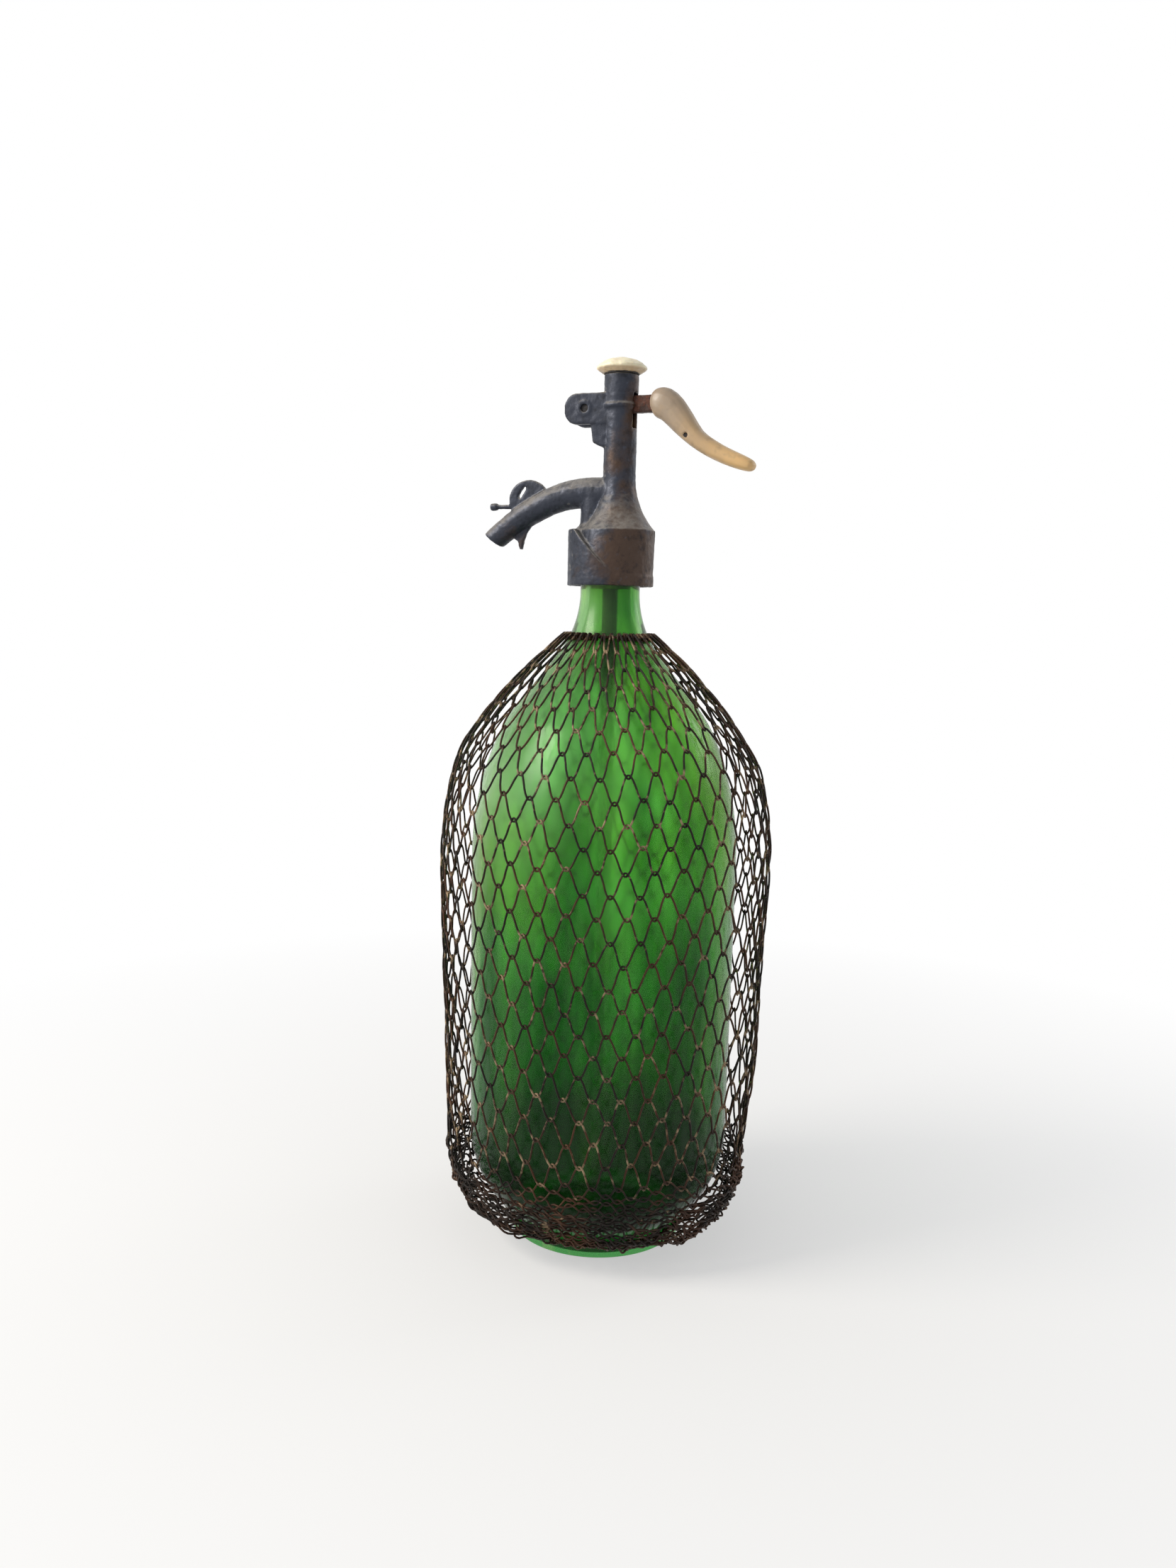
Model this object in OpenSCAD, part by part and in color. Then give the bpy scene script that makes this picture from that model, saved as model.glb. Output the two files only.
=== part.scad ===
// Soda siphon: a netted glass bottle under a cast head with a lever, a valve and a curved spout.
// Millimetres. The origin is the centre of the foot, +Z is up, the spout points along -X
// and the lever along +X.

/* [Bottle] */
// Outer diameter of the glass body
bottle_d = 105; // [102:0.5:107]
// Outer diameter of the foot that the bottle stands on
foot_d = 70; // [66:1:72]
// Outer diameter of the glass neck
neck_d = 23; // [22.6:0.1:23]
// Thickness of the glass wall
glass_wall = 3.5; // [3.3:0.1:3.6]
// Height of the glass mouth above the foot
mouth_z = 268; // [267.8:0.1:268]
// Outer diameter of the glass dip tube
tube_d = 6; // [5:0.5:6]

/* [Head casting] */
// Outer diameter of the collar that holds the head on the bottle
collar_d = 33.4; // [33:0.1:34]
// Height of the lower edge of the collar
collar_z = 258.9; // [258.5:0.1:259.2]
// Height of the sharp edge on top of the collar
edge_z = 280.2; // [280:0.1:280.5]
// Outer diameter of the barrel
barrel_d = 12.5; // [12.3:0.1:12.9]
// How far the barrel stands behind the bottle's axis
barrel_x = 2.7; // [2.6:0.1:2.8]
// Height of the barrel's top
barrel_top_z = 338.4; // [338.2:0.1:338.6]
// Diameter of the trumpet flare where it meets the collar
flare_d = 28.2; // [27.5:0.1:28.4]

/* [Spout] */
// Height of the spout's centre line where it leaves the barrel
spout_z = 294.6; // [294:0.1:295]
// Outer diameter of the spout at the barrel
spout_root_d = 11.8; // [11.5:0.1:12.2]
// Outer diameter of the spout at its tip
spout_tip_d = 8.9; // [8.4:0.1:9.6]
// Diameter of the way through the spout
spout_bore_d = 4.6; // [3.6:0.1:4.8]

/* [Lever] */
// Distance from the pivot pin to the axis of the barrel
pivot_reach = 13.1; // [13:0.1:13.2]
// Height of the pivot pin
pivot_z = 325.9; // [325.8:0.1:326]
// Thickness of the flat iron arm
arm_t = 4; // [3.4:0.1:4]
// Greatest width of the grip, side to side
grip_w = 10.6; // [9:0.1:12]

/* [Wire netting] */
// Number of cells in one ring of the netting (an even number keeps it symmetrical)
net_cells = 20; // [14:2:32]
// Number of half cells between the top and the bottom hoop
net_rows = 15; // [11:1:22]
// Thickness of the netting wire
net_wire = 1.6; // [1.2:0.1:2]
// Thickness of the two hoops that gather the netting
hoop_wire = 1.8; // [1.6:0.1:2]

/* [Hidden] */
$fn = 64;
slip = 0.06;        // radial clearance of a running fit
lap = 0.5;          // how far a cutter runs past the face it cuts

// Bottle
bottle_r = bottle_d / 2;
foot_r = foot_d / 2;
neck_r = neck_d / 2;
neck_bore_r = neck_r - glass_wall;
lip_r = neck_r + 1.9;          // bead round the mouth
lip_h = 4;
heel_round = 44.1;             // radius of the heel between the foot and the wall
heel_z = 42;                   // where the heel meets the wall
foot_h = 8;                    // height of the foot below the heel
waist_in = 0.5;                // how much slimmer the wall is at the heel
waist_end_z = 120;             // where it reaches its full width
wall_z = 154;                  // where the wall meets the shoulder
shoulder_round = 115;          // first, gentle round of the shoulder
shoulder_turn = 25;            // angle that it turns through
crest_round = 45;              // second, tighter round
crest_turn = 38;               // slope that the shoulder reaches
neck_sweep = 40;               // hollow curve from the shoulder up to the neck
floor_z = 6;                   // top of the glass floor
punt_h = 2.5;                  // depth of the hollow under the foot
punt_r = 28;                   // its radius, where the flat ring of the foot begins
punt_round = (punt_r * punt_r + punt_h * punt_h) / (2 * punt_h);
foot_edge = 1;                 // bevel round the foot
lip_edge = 1.2;                // bevel round the mouth
arc_steps = 8;                 // straight steps in each drawn arc

// Neck joint
thread_r = collar_d / 2 - 1.6;     // inside of the collar, round the split ring
ring_z = mouth_z - lip_h;          // top of the split ring, under the bead of the glass
ring_low_z = collar_z + 0.7;
ring_split = 0.3;                  // gap between the two halves of the split ring
ring_bore_r = neck_r + 0.1;
lip_room_r = lip_r + 0.4;
flange_h = 1.6;
ferrule_low_z = mouth_z - 10;
ferrule_r = neck_bore_r - 0.4;
ferrule_flange_r = 10.5;
seal_room_h = 9;                   // room for the seal in the ferrule, which the dip tube fills
seal_h = 8.5;
gasket_h = 1.6;
gasket_r = 13;
gasket_z = mouth_z + flange_h;
web_z = gasket_z + gasket_h;       // underside of the casting, pressed on the gasket
tube_r = tube_d / 2;
tube_bore_r = tube_r - 1.1;
ferrule_bore_r = tube_bore_r + 0.2;
tube_low_z = 10;
seal_r = tube_r + 2;
way_r = 3.2;                       // way from the dip tube up into the chamber
gasket_bore_r = way_r + 0.3;

// Barrel and valve, from the bottom up
barrel_r = barrel_d / 2;
flare_r = flare_d / 2;
sleeve_r = barrel_r + 0.3;
sleeve_z = 327.8;
bead_wire_r = 1;
bead_z = 326.6;
chamber_r = 5.7;
chamber_z = 273.2;
seat_r = 5.4;
seat_low_z = 284;
seat_top_z = 288;
seat_bore_r = 2.7;
port_bore_r = 3.9;
spring_ledge_z = 306.5;
well_r = 4.6;
well_top_z = 335.5;
plug_bore_r = 5;
plug_gap = 0.1;                    // thread clearance of the cap's plug
stem_r = 1.6;
stem_low_z = 277;
stem_end = 0.8;                    // how far the stem's end shows under the retainer
disc_r = 4.2;
disc_gap = 0.05;                   // the closed valve rests this close to its seat
disc_h = 2.6;
retainer_r = 3.3;
packing_z = 302.2;
packing_h = 2.6;
washer_h = 0.8;
spring_seat_h = 1.4;
spring_low_z = spring_ledge_z + spring_seat_h;
eye_low_z = 319;
eye_top_z = 334.4;
eye_r = well_r - 0.08;             // slides in the well
coil_wire = 0.9;
coil_r = 3.5;
coil_turns = 5;
coil_steps = 12;
coil_sides = 6;
cap_washer_h = 0.5;
cap_washer_r = sleeve_r + 0.15;
cap_low_z = barrel_top_z + cap_washer_h;
cap_h = 5.8;
cap_r = 9.7;
cap_foot_r = 7.4;                  // the cap's underside, inside its rounded rim
cap_rim_z = [1.5, 1.9, 2.3];       // heights of the rim's lower edge, crest and upper edge
cap_rim_in = 0.1;                  // how far the edges lie inside the crest
cap_dome_in = 0.5;                 // how far the dome begins inside the crest
cap_dome_r = 15;

// Lever
pivot_x = barrel_x - pivot_reach;
pin_r = 1.5;
ear_t = 3;
ear_gap = 4.6;
ear_top_z = 331.5;
ear_low_z = 320;
ear_end_x = -18.6;
ear_corner = 5;
boss_r = 2.8;                      // low ring round the pin's hole on each ear
boss_h = 0.35;
pin_sunk = 0.7;                    // how far the pin's ends lie below the ears' faces
arm_below = 1.8;                   // arm below the line of the pivot
arm_above = 4.4;                   // arm above it
arm_eye_r = 4.8;
arm_end_x = 16.5;
slot_w = arm_t + 0.5;
slot_top_z = 331.4;
slot_low_z = 318.4;
crown_r = 6;                       // rounded floor of the stem's eye, which the arm presses on
crown_gap = 0.4;
roof_gap = 1.5;
rivet_r = 0.9;
rivet_at = [30.2, 314.8];

// Spout: a straight root, a tight bend and a gentle bend
spout_start_x = -10;
bend_a_r = 42;
bend_a = 23;
bend_b_r = 95;
bend_b = 17;
tip_cut = 12.7;                    // how far the tip's face leans from square
spout_sides = 24;
bend_steps = 5;

// Netting
net_points = [[36.9, 7], [55.4, 17.5], [60.6, 52], [62.8, 88], [64.4, 124], [64.4, 160],
    [60.2, 188], [48.7, 208], [33.8, 225.5], [17.3, 240.6]];
net_top_hoop_z = 239.5;
base_hoop_z = 6;

// ---------- helpers ----------

function arc(c, r, a0, a1, n = arc_steps) =
    [for (i = [0:n]) c + r * [cos(a0 + (a1 - a0) * i / n), sin(a0 + (a1 - a0) * i / n)]];

// A point on the smooth curve through the list p, at t counted in points from the first.
function on_curve(p, t) =
    let (last = len(p) - 1, i = min(floor(t), last - 1), f = t - i,
         a = p[max(i - 1, 0)], b = p[i], c = p[i + 1], d = p[min(i + 2, last)])
    0.5 * (2 * b + (c - a) * f + (2 * a - 5 * b + 4 * c - d) * f * f
        + (3 * b - a - 3 * c + d) * f * f * f);

// A closed solid through rings that have the same number of points.
module loft(rings) {
    n = len(rings[0]);
    last = len(rings) - 1;
    side = [for (k = [0:last - 1], i = [0:n - 1])
        let (a = k * n + i, b = k * n + (i + 1) % n) each [[a, a + n, b], [b, a + n, b + n]]];
    low = [for (i = [1:n - 2]) [0, i, i + 1]];
    high = [for (i = [1:n - 2]) [last * n, last * n + i + 1, last * n + i]];
    polyhedron(points = [for (r = rings) each r], faces = concat(side, low, high));
}

// A flat outline drawn in X and Z, made into a plate of thickness t centred on Y.
module plate(t) {
    rotate([90, 0, 0]) translate([0, 0, -t / 2]) linear_extrude(t) children();
}

// A cylinder along Y, centred on the plane of symmetry.
module cross_pin(x, z, r, length) {
    translate([x, 0, z]) rotate([90, 0, 0]) cylinder(r = r, h = length, center = true);
}

module ring(r_out, r_in, z, h) {
    translate([0, 0, z]) difference() {
        cylinder(r = r_out, h = h);
        translate([0, 0, -lap]) cylinder(r = r_in, h = h + 2 * lap);
    }
}

module round_hoop(r, z, wire) {
    translate([0, 0, z]) rotate_extrude() translate([r, 0]) circle(d = wire);
}

// ---------- bottle ----------

// Outline of the glass from the heel to the neck, drawn in by the depth t.
function glass_outline(t) =
    let (shoulder_c = [bottle_r - shoulder_round, wall_z],
         crest_c = shoulder_c + (shoulder_round - crest_round) * [cos(shoulder_turn), sin(shoulder_turn)],
         crest_end = crest_c + crest_round * [cos(crest_turn), sin(crest_turn)],
         sweep_in_r = neck_r + neck_sweep * (1 - cos(crest_turn)),
         sweep_in_z = crest_end[1] + (crest_end[0] - sweep_in_r) / tan(crest_turn),
         sweep_c = [neck_r + neck_sweep, sweep_in_z + neck_sweep * sin(crest_turn)],
         heel_low_z = t > 0 ? floor_z : foot_h,
         heel_c = [bottle_r - waist_in - heel_round, heel_z])
    concat(arc(heel_c, heel_round - t, asin((heel_low_z - heel_z) / (heel_round - t)), 0),
        [[bottle_r - waist_in - t, heel_z], [bottle_r - t, waist_end_z]],
        arc(shoulder_c, shoulder_round - t, 0, shoulder_turn),
        arc(crest_c, crest_round - t, shoulder_turn, crest_turn),
        arc(sweep_c, neck_sweep + t, 180 + crest_turn, 180));

module glass_bottle() {
    outer = concat(arc([0, punt_h - punt_round], punt_round, 90, acos(punt_r / punt_round)),
        [[foot_r - foot_edge, 0], [foot_r, foot_edge], [foot_r, foot_h]],
        glass_outline(0),
        [[neck_r, ring_z], [lip_r, ring_z], [lip_r, mouth_z - lip_edge], [lip_r - lip_edge, mouth_z],
            [0, mouth_z]]);
    inner = concat([[0, floor_z]], glass_outline(glass_wall),
        [[neck_bore_r, mouth_z + lap], [0, mouth_z + lap]]);
    color([0.1, 0.5, 0.2, 0.55]) rotate_extrude() difference() {
        polygon(outer);
        polygon(inner);
    }
}

// ---------- netting ----------

net_last = len(net_points) - 1;

// Knot: the crest of the wire, then the points above, right of, below and left of it.
function knot(k, i) =
    let (t = k * net_last / net_rows,
         near = 0.1,
         p = on_curve(net_points, t),
         q = on_curve(net_points, min(t + near, net_last)) - on_curve(net_points, max(t - near, 0)),
         up = q / norm(q),
         out = [up[1], -up[0]],
         pitch = 2 * PI * p[0] / net_cells,
         step = norm(on_curve(net_points, min(t + net_last / net_rows, net_last))
             - on_curve(net_points, max(t - net_last / net_rows, 0))) / ((k == 0 || k == net_rows) ? 1 : 2),
         lean = atan2(pitch / 2, step),
         rise = net_wire / 2 / sin(lean),
         turn = net_wire / 2 / cos(lean) / p[0] * 180 / PI,
         a = (i + (k % 2) / 2) * 360 / net_cells,
         crest = p + out * net_wire / 2,
         back = p - out * net_wire / 2)
    [for (v = [[crest, a], [back + up * rise, a], [back, a + turn], [back - up * rise, a], [back, a - turn]])
        [v[0][0] * cos(v[1]), v[0][0] * sin(v[1]), v[0][1]]];

function knot_at(k, i) = 5 * (k * net_cells + (i + net_cells) % net_cells);

function two(a, b, c, d) = [[a, b, c], [a, c, d]];

module wire_net() {
    points = [for (k = [0:net_rows], i = [0:net_cells - 1]) each knot(k, i)];
    backs = [for (k = [0:net_rows], i = [0:net_cells - 1])
        let (p = knot_at(k, i)) each two(p + 4, p + 3, p + 2, p + 1)];
    strands = [for (k = [0:net_rows - 1], i = [0:net_cells - 1])
        let (p = knot_at(k, i), q = knot_at(k + 1, i + k % 2), w = knot_at(k + 1, i + k % 2 - 1))
        each concat(two(p, p + 1, q + 4, q), two(p, q, q + 3, p + 2), two(p + 1, p + 2, q + 3, q + 4),
            two(p, w, w + 2, p + 1), two(p, p + 4, w + 3, w), two(p + 4, p + 1, w + 2, w + 3))];
    ends = [for (i = [0:net_cells - 1])
        let (p = knot_at(0, i), q = knot_at(net_rows, i))
        each [[p, p + 2, p + 3], [p, p + 3, p + 4], [q, q + 1, q + 2], [q, q + 4, q + 1]]];
    color([0.22, 0.16, 0.13]) polyhedron(points = points, faces = concat(backs, strands, ends));
}

module net_top_hoop() {
    outline = glass_outline(0);
    mouth_end = outline[len(outline) - 1];
    sweep_c = [neck_r + neck_sweep, mouth_end[1]];
    reach = neck_sweep * cos(crest_turn / arc_steps / 2) - slip - hoop_wire / 2;
    r = sweep_c[0] - sqrt(reach * reach - pow(sweep_c[1] - net_top_hoop_z, 2));
    color([0.3, 0.2, 0.15]) round_hoop(r, net_top_hoop_z, hoop_wire);
}

module net_base_hoop() {
    color([0.3, 0.2, 0.15]) round_hoop(foot_r + hoop_wire / 2, base_hoop_z, hoop_wire);
}

// ---------- neck joint ----------

module neck_ring_half(side) {
    color([0.55, 0.5, 0.4]) intersection() {
        ring(thread_r - slip, ring_bore_r, ring_low_z, ring_z - ring_low_z);
        translate([-collar_d, side > 0 ? ring_split / 2 : -collar_d - ring_split / 2, 0])
            cube([2 * collar_d, collar_d, mouth_z]);
    }
}

module neck_ring_front() {
    neck_ring_half(-1);
}

module neck_ring_rear() {
    neck_ring_half(1);
}

module tube_ferrule() {
    color([0.6, 0.55, 0.4]) difference() {
        union() {
            translate([0, 0, ferrule_low_z]) cylinder(r = ferrule_r, h = mouth_z - ferrule_low_z + lap);
            translate([0, 0, mouth_z]) cylinder(r = ferrule_flange_r, h = flange_h);
        }
        translate([0, 0, ferrule_low_z - lap]) cylinder(r = seal_r, h = seal_room_h + lap);
        translate([0, 0, ferrule_low_z])
            cylinder(r = ferrule_bore_r, h = mouth_z + flange_h + lap - ferrule_low_z);
    }
}

module tube_seal() {
    color([0.25, 0.2, 0.18]) ring(seal_r, tube_r, ferrule_low_z + seal_room_h - seal_h, seal_h);
}

module dip_tube() {
    color([0.75, 0.9, 0.85, 0.6])
        ring(tube_r, tube_bore_r, tube_low_z, ferrule_low_z + seal_room_h - tube_low_z);
}

module neck_gasket() {
    color([0.5, 0.15, 0.1]) ring(gasket_r, gasket_bore_r, gasket_z, gasket_h);
}

// ---------- head casting ----------

// A revolved solid that flares from r_top, tangent to the barrel, out to r_low at the height z.
module flare(r_low, r_top, z, round) {
    drop = r_low - r_top;
    rise = sqrt(round * round - pow(round - drop, 2));
    sunk = 1;                      // how far it runs down into what it stands on
    rotate_extrude() difference() {
        translate([0, z - sunk]) square([r_low, rise + sunk]);
        translate([r_top + round, z + rise]) circle(r = round, $fn = 128);
    }
}

// Ring of the spout at station x, z where the centre line falls by the angle a.
function spout_ring(p, a, r, cut = 0) =
    [for (i = [0:spout_sides - 1])
        let (b = i * 360 / spout_sides, v = r * cos(b) / cos(cut))
        [p[0] - v * sin(a + cut), r * sin(b), p[1] + v * cos(a + cut)]];

bend_a_c = [spout_start_x, spout_z - bend_a_r];
bend_b_c = bend_a_c + (bend_a_r - bend_b_r) * [cos(90 + bend_a), sin(90 + bend_a)];

module spout_skin() {
    steps = 2 * bend_steps;
    function station(i) = i <= bend_steps
        ? [bend_a_c + bend_a_r * [cos(90 + bend_a * i / bend_steps), sin(90 + bend_a * i / bend_steps)],
            bend_a * i / bend_steps]
        : let (a = bend_a + bend_b * (i - bend_steps) / bend_steps)
            [bend_b_c + bend_b_r * [cos(90 + a), sin(90 + a)], a];
    loft(concat([spout_ring([barrel_x, spout_z], 0, barrel_r - 0.5)],
        [for (i = [0:steps]) let (s = station(i))
            spout_ring(s[0], s[1], (spout_root_d + (spout_tip_d - spout_root_d) * i / steps) / 2,
                i == steps ? tip_cut : 0)]));
}

module spout_way() {
    r = spout_bore_d / 2;
    translate([spout_start_x, 0, spout_z]) rotate([0, 90, 0]) cylinder(r = r, h = barrel_x - spout_start_x);
    translate([bend_a_c[0], 0, bend_a_c[1]]) rotate([90, 0, 0]) rotate([0, 0, 90])
        rotate_extrude(angle = bend_a) translate([bend_a_r, 0]) circle(r = r);
    translate([bend_b_c[0], 0, bend_b_c[1]]) rotate([90, 0, 0]) rotate([0, 0, 90 + bend_a])
        rotate_extrude(angle = bend_b) translate([bend_b_r, 0]) circle(r = r);
    fall = bend_a + bend_b;
    end = bend_b_c + bend_b_r * [cos(90 + fall), sin(90 + fall)];
    translate([end[0], 0, end[1]]) rotate([0, -90 - fall, 0]) cylinder(r = r, h = spout_tip_d / 2);
}

// The small furniture cast on the spout: an eye and a peg with a knob on top, a thorn below.
module spout_furniture() {
    eye_at = [-35.2, 292.4];
    eye_round = [8.4, 7.6];
    eye_slot = [5, 1.7];
    eye_slot_at = eye_at + [-2.8, 2.9];
    eye_foot_z = 287;              // the eye stops inside the spout's wall
    peg_at = [-38.5, 289.7];
    peg_length = 13.4;
    knob_h = 2.8;
    plate(2.4) difference() {
        translate(eye_at) scale(eye_round) circle(r = 1);
        translate(eye_slot_at) rotate(56) square(eye_slot, center = true);
        translate([eye_at[0] - eye_round[0] - lap, eye_at[1] - eye_round[1] - lap])
            square([2 * (eye_round[0] + lap), eye_foot_z - eye_at[1] + eye_round[1] + lap]);
    }
    translate([peg_at[0], 0, peg_at[1]]) rotate([0, -90, 0]) {
        cylinder(r = 0.9, h = peg_length - 1);
        translate([0, 0, peg_length - knob_h]) cylinder(r = 1.45, h = knob_h);
    }
    plate(1.9) polygon([[-42, 278.6], [-41.3, 277.2], [-39.6, 276.2], [-38.8, 273], [-37.8, 273],
        [-37.2, 276.4], [-36, 279.2], [-34, 282.3], [-34.6, 284]]);
}

module ear_outline() {
    top = ear_top_z - ear_corner;
    low = ear_low_z + ear_corner;
    translate([ear_end_x + ear_corner, ear_low_z])
        square([barrel_x - ear_end_x - ear_corner, ear_top_z - ear_low_z]);
    translate([ear_end_x, low]) square([2 * ear_corner, top - low]);
    translate([ear_end_x + ear_corner, top]) circle(r = ear_corner);
    translate([ear_end_x + ear_corner, low]) circle(r = ear_corner);
}

module casting_solid() {
    web_x = -6.8;                  // axis of the round web between the spout and the collar
    web_r = 5.8;
    web_flare = 4;
    lean_x = -10.4;                // where the slanted edge on the collar starts
    band_h = 4;                    // plain band round the foot of the collar
    skirt_h = edge_z - collar_z;
    skirt_lean = atan(barrel_x / skirt_h);
    skirt_in = 0.3;                // how much slimmer the skirt is than the collar at its foot
    skirt_foot = 1;                // how far above the collar's edge it begins
    root_h = 5;                    // how far the barrel and the web run down into the collar
    shelf_w = 10;                  // the bracket that carries the ears
    shelf_low_z = 311.5;
    // the collar, whose back is cut away along a slant that shows as an edge on its side
    difference() {
        translate([0, 0, collar_z]) cylinder(r = collar_d / 2, h = skirt_h);
        intersection() {
            translate([lean_x, -collar_d, edge_z]) rotate([0, -45, 0]) translate([0, 0, -2 * collar_d])
                cube([2 * collar_d, 2 * collar_d, 4 * collar_d]);
            translate([-collar_d, -collar_d, collar_z + band_h]) cube([2 * collar_d, 2 * collar_d, skirt_h]);
        }
    }
    // the skirt behind it, a leaning cone that runs up to the circle of the flare
    intersection() {
        translate([0, 0, collar_z]) rotate([0, skirt_lean, 0]) translate([0, 0, -lap])
            cylinder(r1 = collar_d / 2 - skirt_in, r2 = flare_r, h = skirt_h + 4);
        translate([-collar_d, -collar_d, collar_z + skirt_foot])
            cube([2 * collar_d, 2 * collar_d, skirt_h - skirt_foot]);
    }
    translate([barrel_x, 0, 0]) {
        flare(flare_r, barrel_r, edge_z, 29.5);
        translate([0, 0, edge_z - root_h]) cylinder(r = barrel_r, h = barrel_top_z - edge_z + root_h);
        translate([0, 0, sleeve_z]) cylinder(r = sleeve_r, h = barrel_top_z - sleeve_z);
        translate([0, 0, bead_z]) rotate_extrude() translate([barrel_r, 0]) circle(r = bead_wire_r);
    }
    translate([web_x, 0, 0]) {
        flare(web_r + web_flare, web_r, edge_z, web_flare);
        translate([0, 0, edge_z - root_h]) cylinder(r = web_r, h = spout_z - edge_z + root_h - 1);
    }
    spout_skin();
    spout_furniture();
    plate(ear_gap + 2 * ear_t) ear_outline();
    cross_pin(pivot_x, pivot_z, boss_r, ear_gap + 2 * (ear_t + boss_h));
    plate(shelf_w) polygon([[-7.9, ear_low_z + lap], [-6.9, 313], [-3.8, shelf_low_z], [0, shelf_low_z],
        [0, ear_low_z + lap]]);
}

module head_body() {
    color([0.27, 0.27, 0.31]) difference() {
        casting_solid();
        // the collar's inside
        translate([0, 0, collar_z - lap]) cylinder(r = thread_r, h = ring_z - collar_z + lap);
        translate([0, 0, ring_z - lap]) cylinder(r = lip_room_r, h = web_z - ring_z + lap);
        translate([0, 0, web_z - lap]) cylinder(r = way_r, h = chamber_z - web_z + 2 * lap);
        // the bores up the barrel
        translate([barrel_x, 0, 0]) {
            translate([0, 0, chamber_z]) cylinder(r = chamber_r, h = seat_low_z - chamber_z);
            translate([0, 0, seat_low_z - lap])
                cylinder(r = seat_r + slip, h = seat_top_z - seat_low_z + lap);
            translate([0, 0, seat_top_z - lap])
                cylinder(r = port_bore_r, h = spring_ledge_z - seat_top_z + lap);
            translate([0, 0, spring_ledge_z]) cylinder(r = well_r, h = well_top_z - spring_ledge_z + lap);
            translate([0, 0, well_top_z]) cylinder(r = plug_bore_r, h = barrel_top_z - well_top_z + lap);
        }
        spout_way();
        // the clevis and the slots that the arm swings in
        translate([ear_end_x - lap, -ear_gap / 2, ear_low_z - lap])
            cube([barrel_x - barrel_r - ear_end_x + 2 * lap, ear_gap, ear_top_z - ear_low_z + 2 * lap]);
        translate([pivot_x, -slot_w / 2, ear_low_z + 1])
            cube([pivot_reach, slot_w, slot_top_z - ear_low_z - 1]);
        translate([barrel_x, -slot_w / 2, slot_low_z]) cube([2 * barrel_r, slot_w, slot_top_z - slot_low_z]);
        cross_pin(pivot_x, pivot_z, pin_r, collar_d);
    }
}

// ---------- valve ----------

module on_barrel() {
    translate([barrel_x, 0, 0]) children();
}

module valve_seat() {
    color([0.7, 0.6, 0.3]) on_barrel() ring(seat_r, seat_bore_r, seat_low_z, seat_top_z - seat_low_z);
}

module valve_stem() {
    crown_z = pivot_z - arm_below - crown_gap;
    roof_z = pivot_z + arm_above + roof_gap;
    mouth_low_z = crown_z - crown_r + sqrt(crown_r * crown_r - eye_r * eye_r) - lap;
    color([0.7, 0.6, 0.3]) on_barrel() difference() {
        union() {
            translate([0, 0, stem_low_z]) cylinder(r = stem_r, h = eye_low_z - stem_low_z + lap);
            translate([0, 0, eye_low_z]) cylinder(r = eye_r, h = eye_top_z - eye_low_z);
        }
        difference() {
            translate([-2 * eye_r, -slot_w / 2, mouth_low_z]) cube([4 * eye_r, slot_w, roof_z - mouth_low_z]);
            cross_pin(0, crown_z - crown_r, crown_r, 2 * slot_w);
        }
    }
}

module valve_disc() {
    color([0.5, 0.12, 0.1]) on_barrel() ring(disc_r, stem_r, seat_low_z - disc_gap - disc_h, disc_h);
}

module disc_retainer() {
    low = stem_low_z + stem_end;
    color([0.75, 0.65, 0.35]) on_barrel() ring(retainer_r, stem_r, low, seat_low_z - disc_gap - disc_h - low);
}

module stem_packing() {
    color([0.2, 0.18, 0.18]) on_barrel() ring(port_bore_r - slip, stem_r, packing_z, packing_h);
}

module packing_washer() {
    color([0.75, 0.65, 0.35]) on_barrel() ring(port_bore_r - slip, stem_r, packing_z + packing_h, washer_h);
}

module spring_seat() {
    color([0.75, 0.65, 0.35]) on_barrel() ring(well_r - slip, stem_r + slip, spring_ledge_z, spring_seat_h);
}

module return_spring() {
    rise = eye_low_z - spring_low_z - coil_wire;
    steps = coil_turns * coil_steps;
    // the first and the last turn lie flat, the rest climb at a steady rate
    function height(i) = let (u = i / coil_steps)
        spring_low_z + coil_wire / 2 + rise * min(max((u - 0.75) / (coil_turns - 1.5), 0), 1);
    color([0.6, 0.6, 0.62]) on_barrel() loft([for (i = [0:steps])
        let (a = i * 360 / coil_steps)
        [for (j = [0:coil_sides - 1])
            let (b = -j * 360 / coil_sides, r = coil_r + coil_wire / 2 * cos(b))
            [r * cos(a), r * sin(a), height(i) + coil_wire / 2 * sin(b)]]]);
}

// ---------- cap ----------

module cap_washer() {
    color([0.15, 0.13, 0.12]) on_barrel() ring(cap_washer_r, plug_bore_r, barrel_top_z, cap_washer_h);
}

module cap_plug() {
    edge_r = cap_r - cap_rim_in;
    color([0.93, 0.86, 0.62]) on_barrel() {
        translate([0, 0, cap_low_z]) rotate_extrude() polygon(concat(
            [[0, 0], [cap_foot_r, 0], [edge_r, cap_rim_z[0]], [cap_r, cap_rim_z[1]], [edge_r, cap_rim_z[2]]],
            arc([0, cap_h - cap_dome_r], cap_dome_r, 90 - asin((cap_r - cap_dome_in) / cap_dome_r), 90)));
        translate([0, 0, well_top_z]) cylinder(r = plug_bore_r - plug_gap, h = cap_low_z - well_top_z + lap);
    }
}

// ---------- lever ----------

module pivot_pin() {
    color([0.35, 0.33, 0.32])
        cross_pin(pivot_x, pivot_z, pin_r, ear_gap + 2 * (ear_t - pin_sunk));
}

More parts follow.
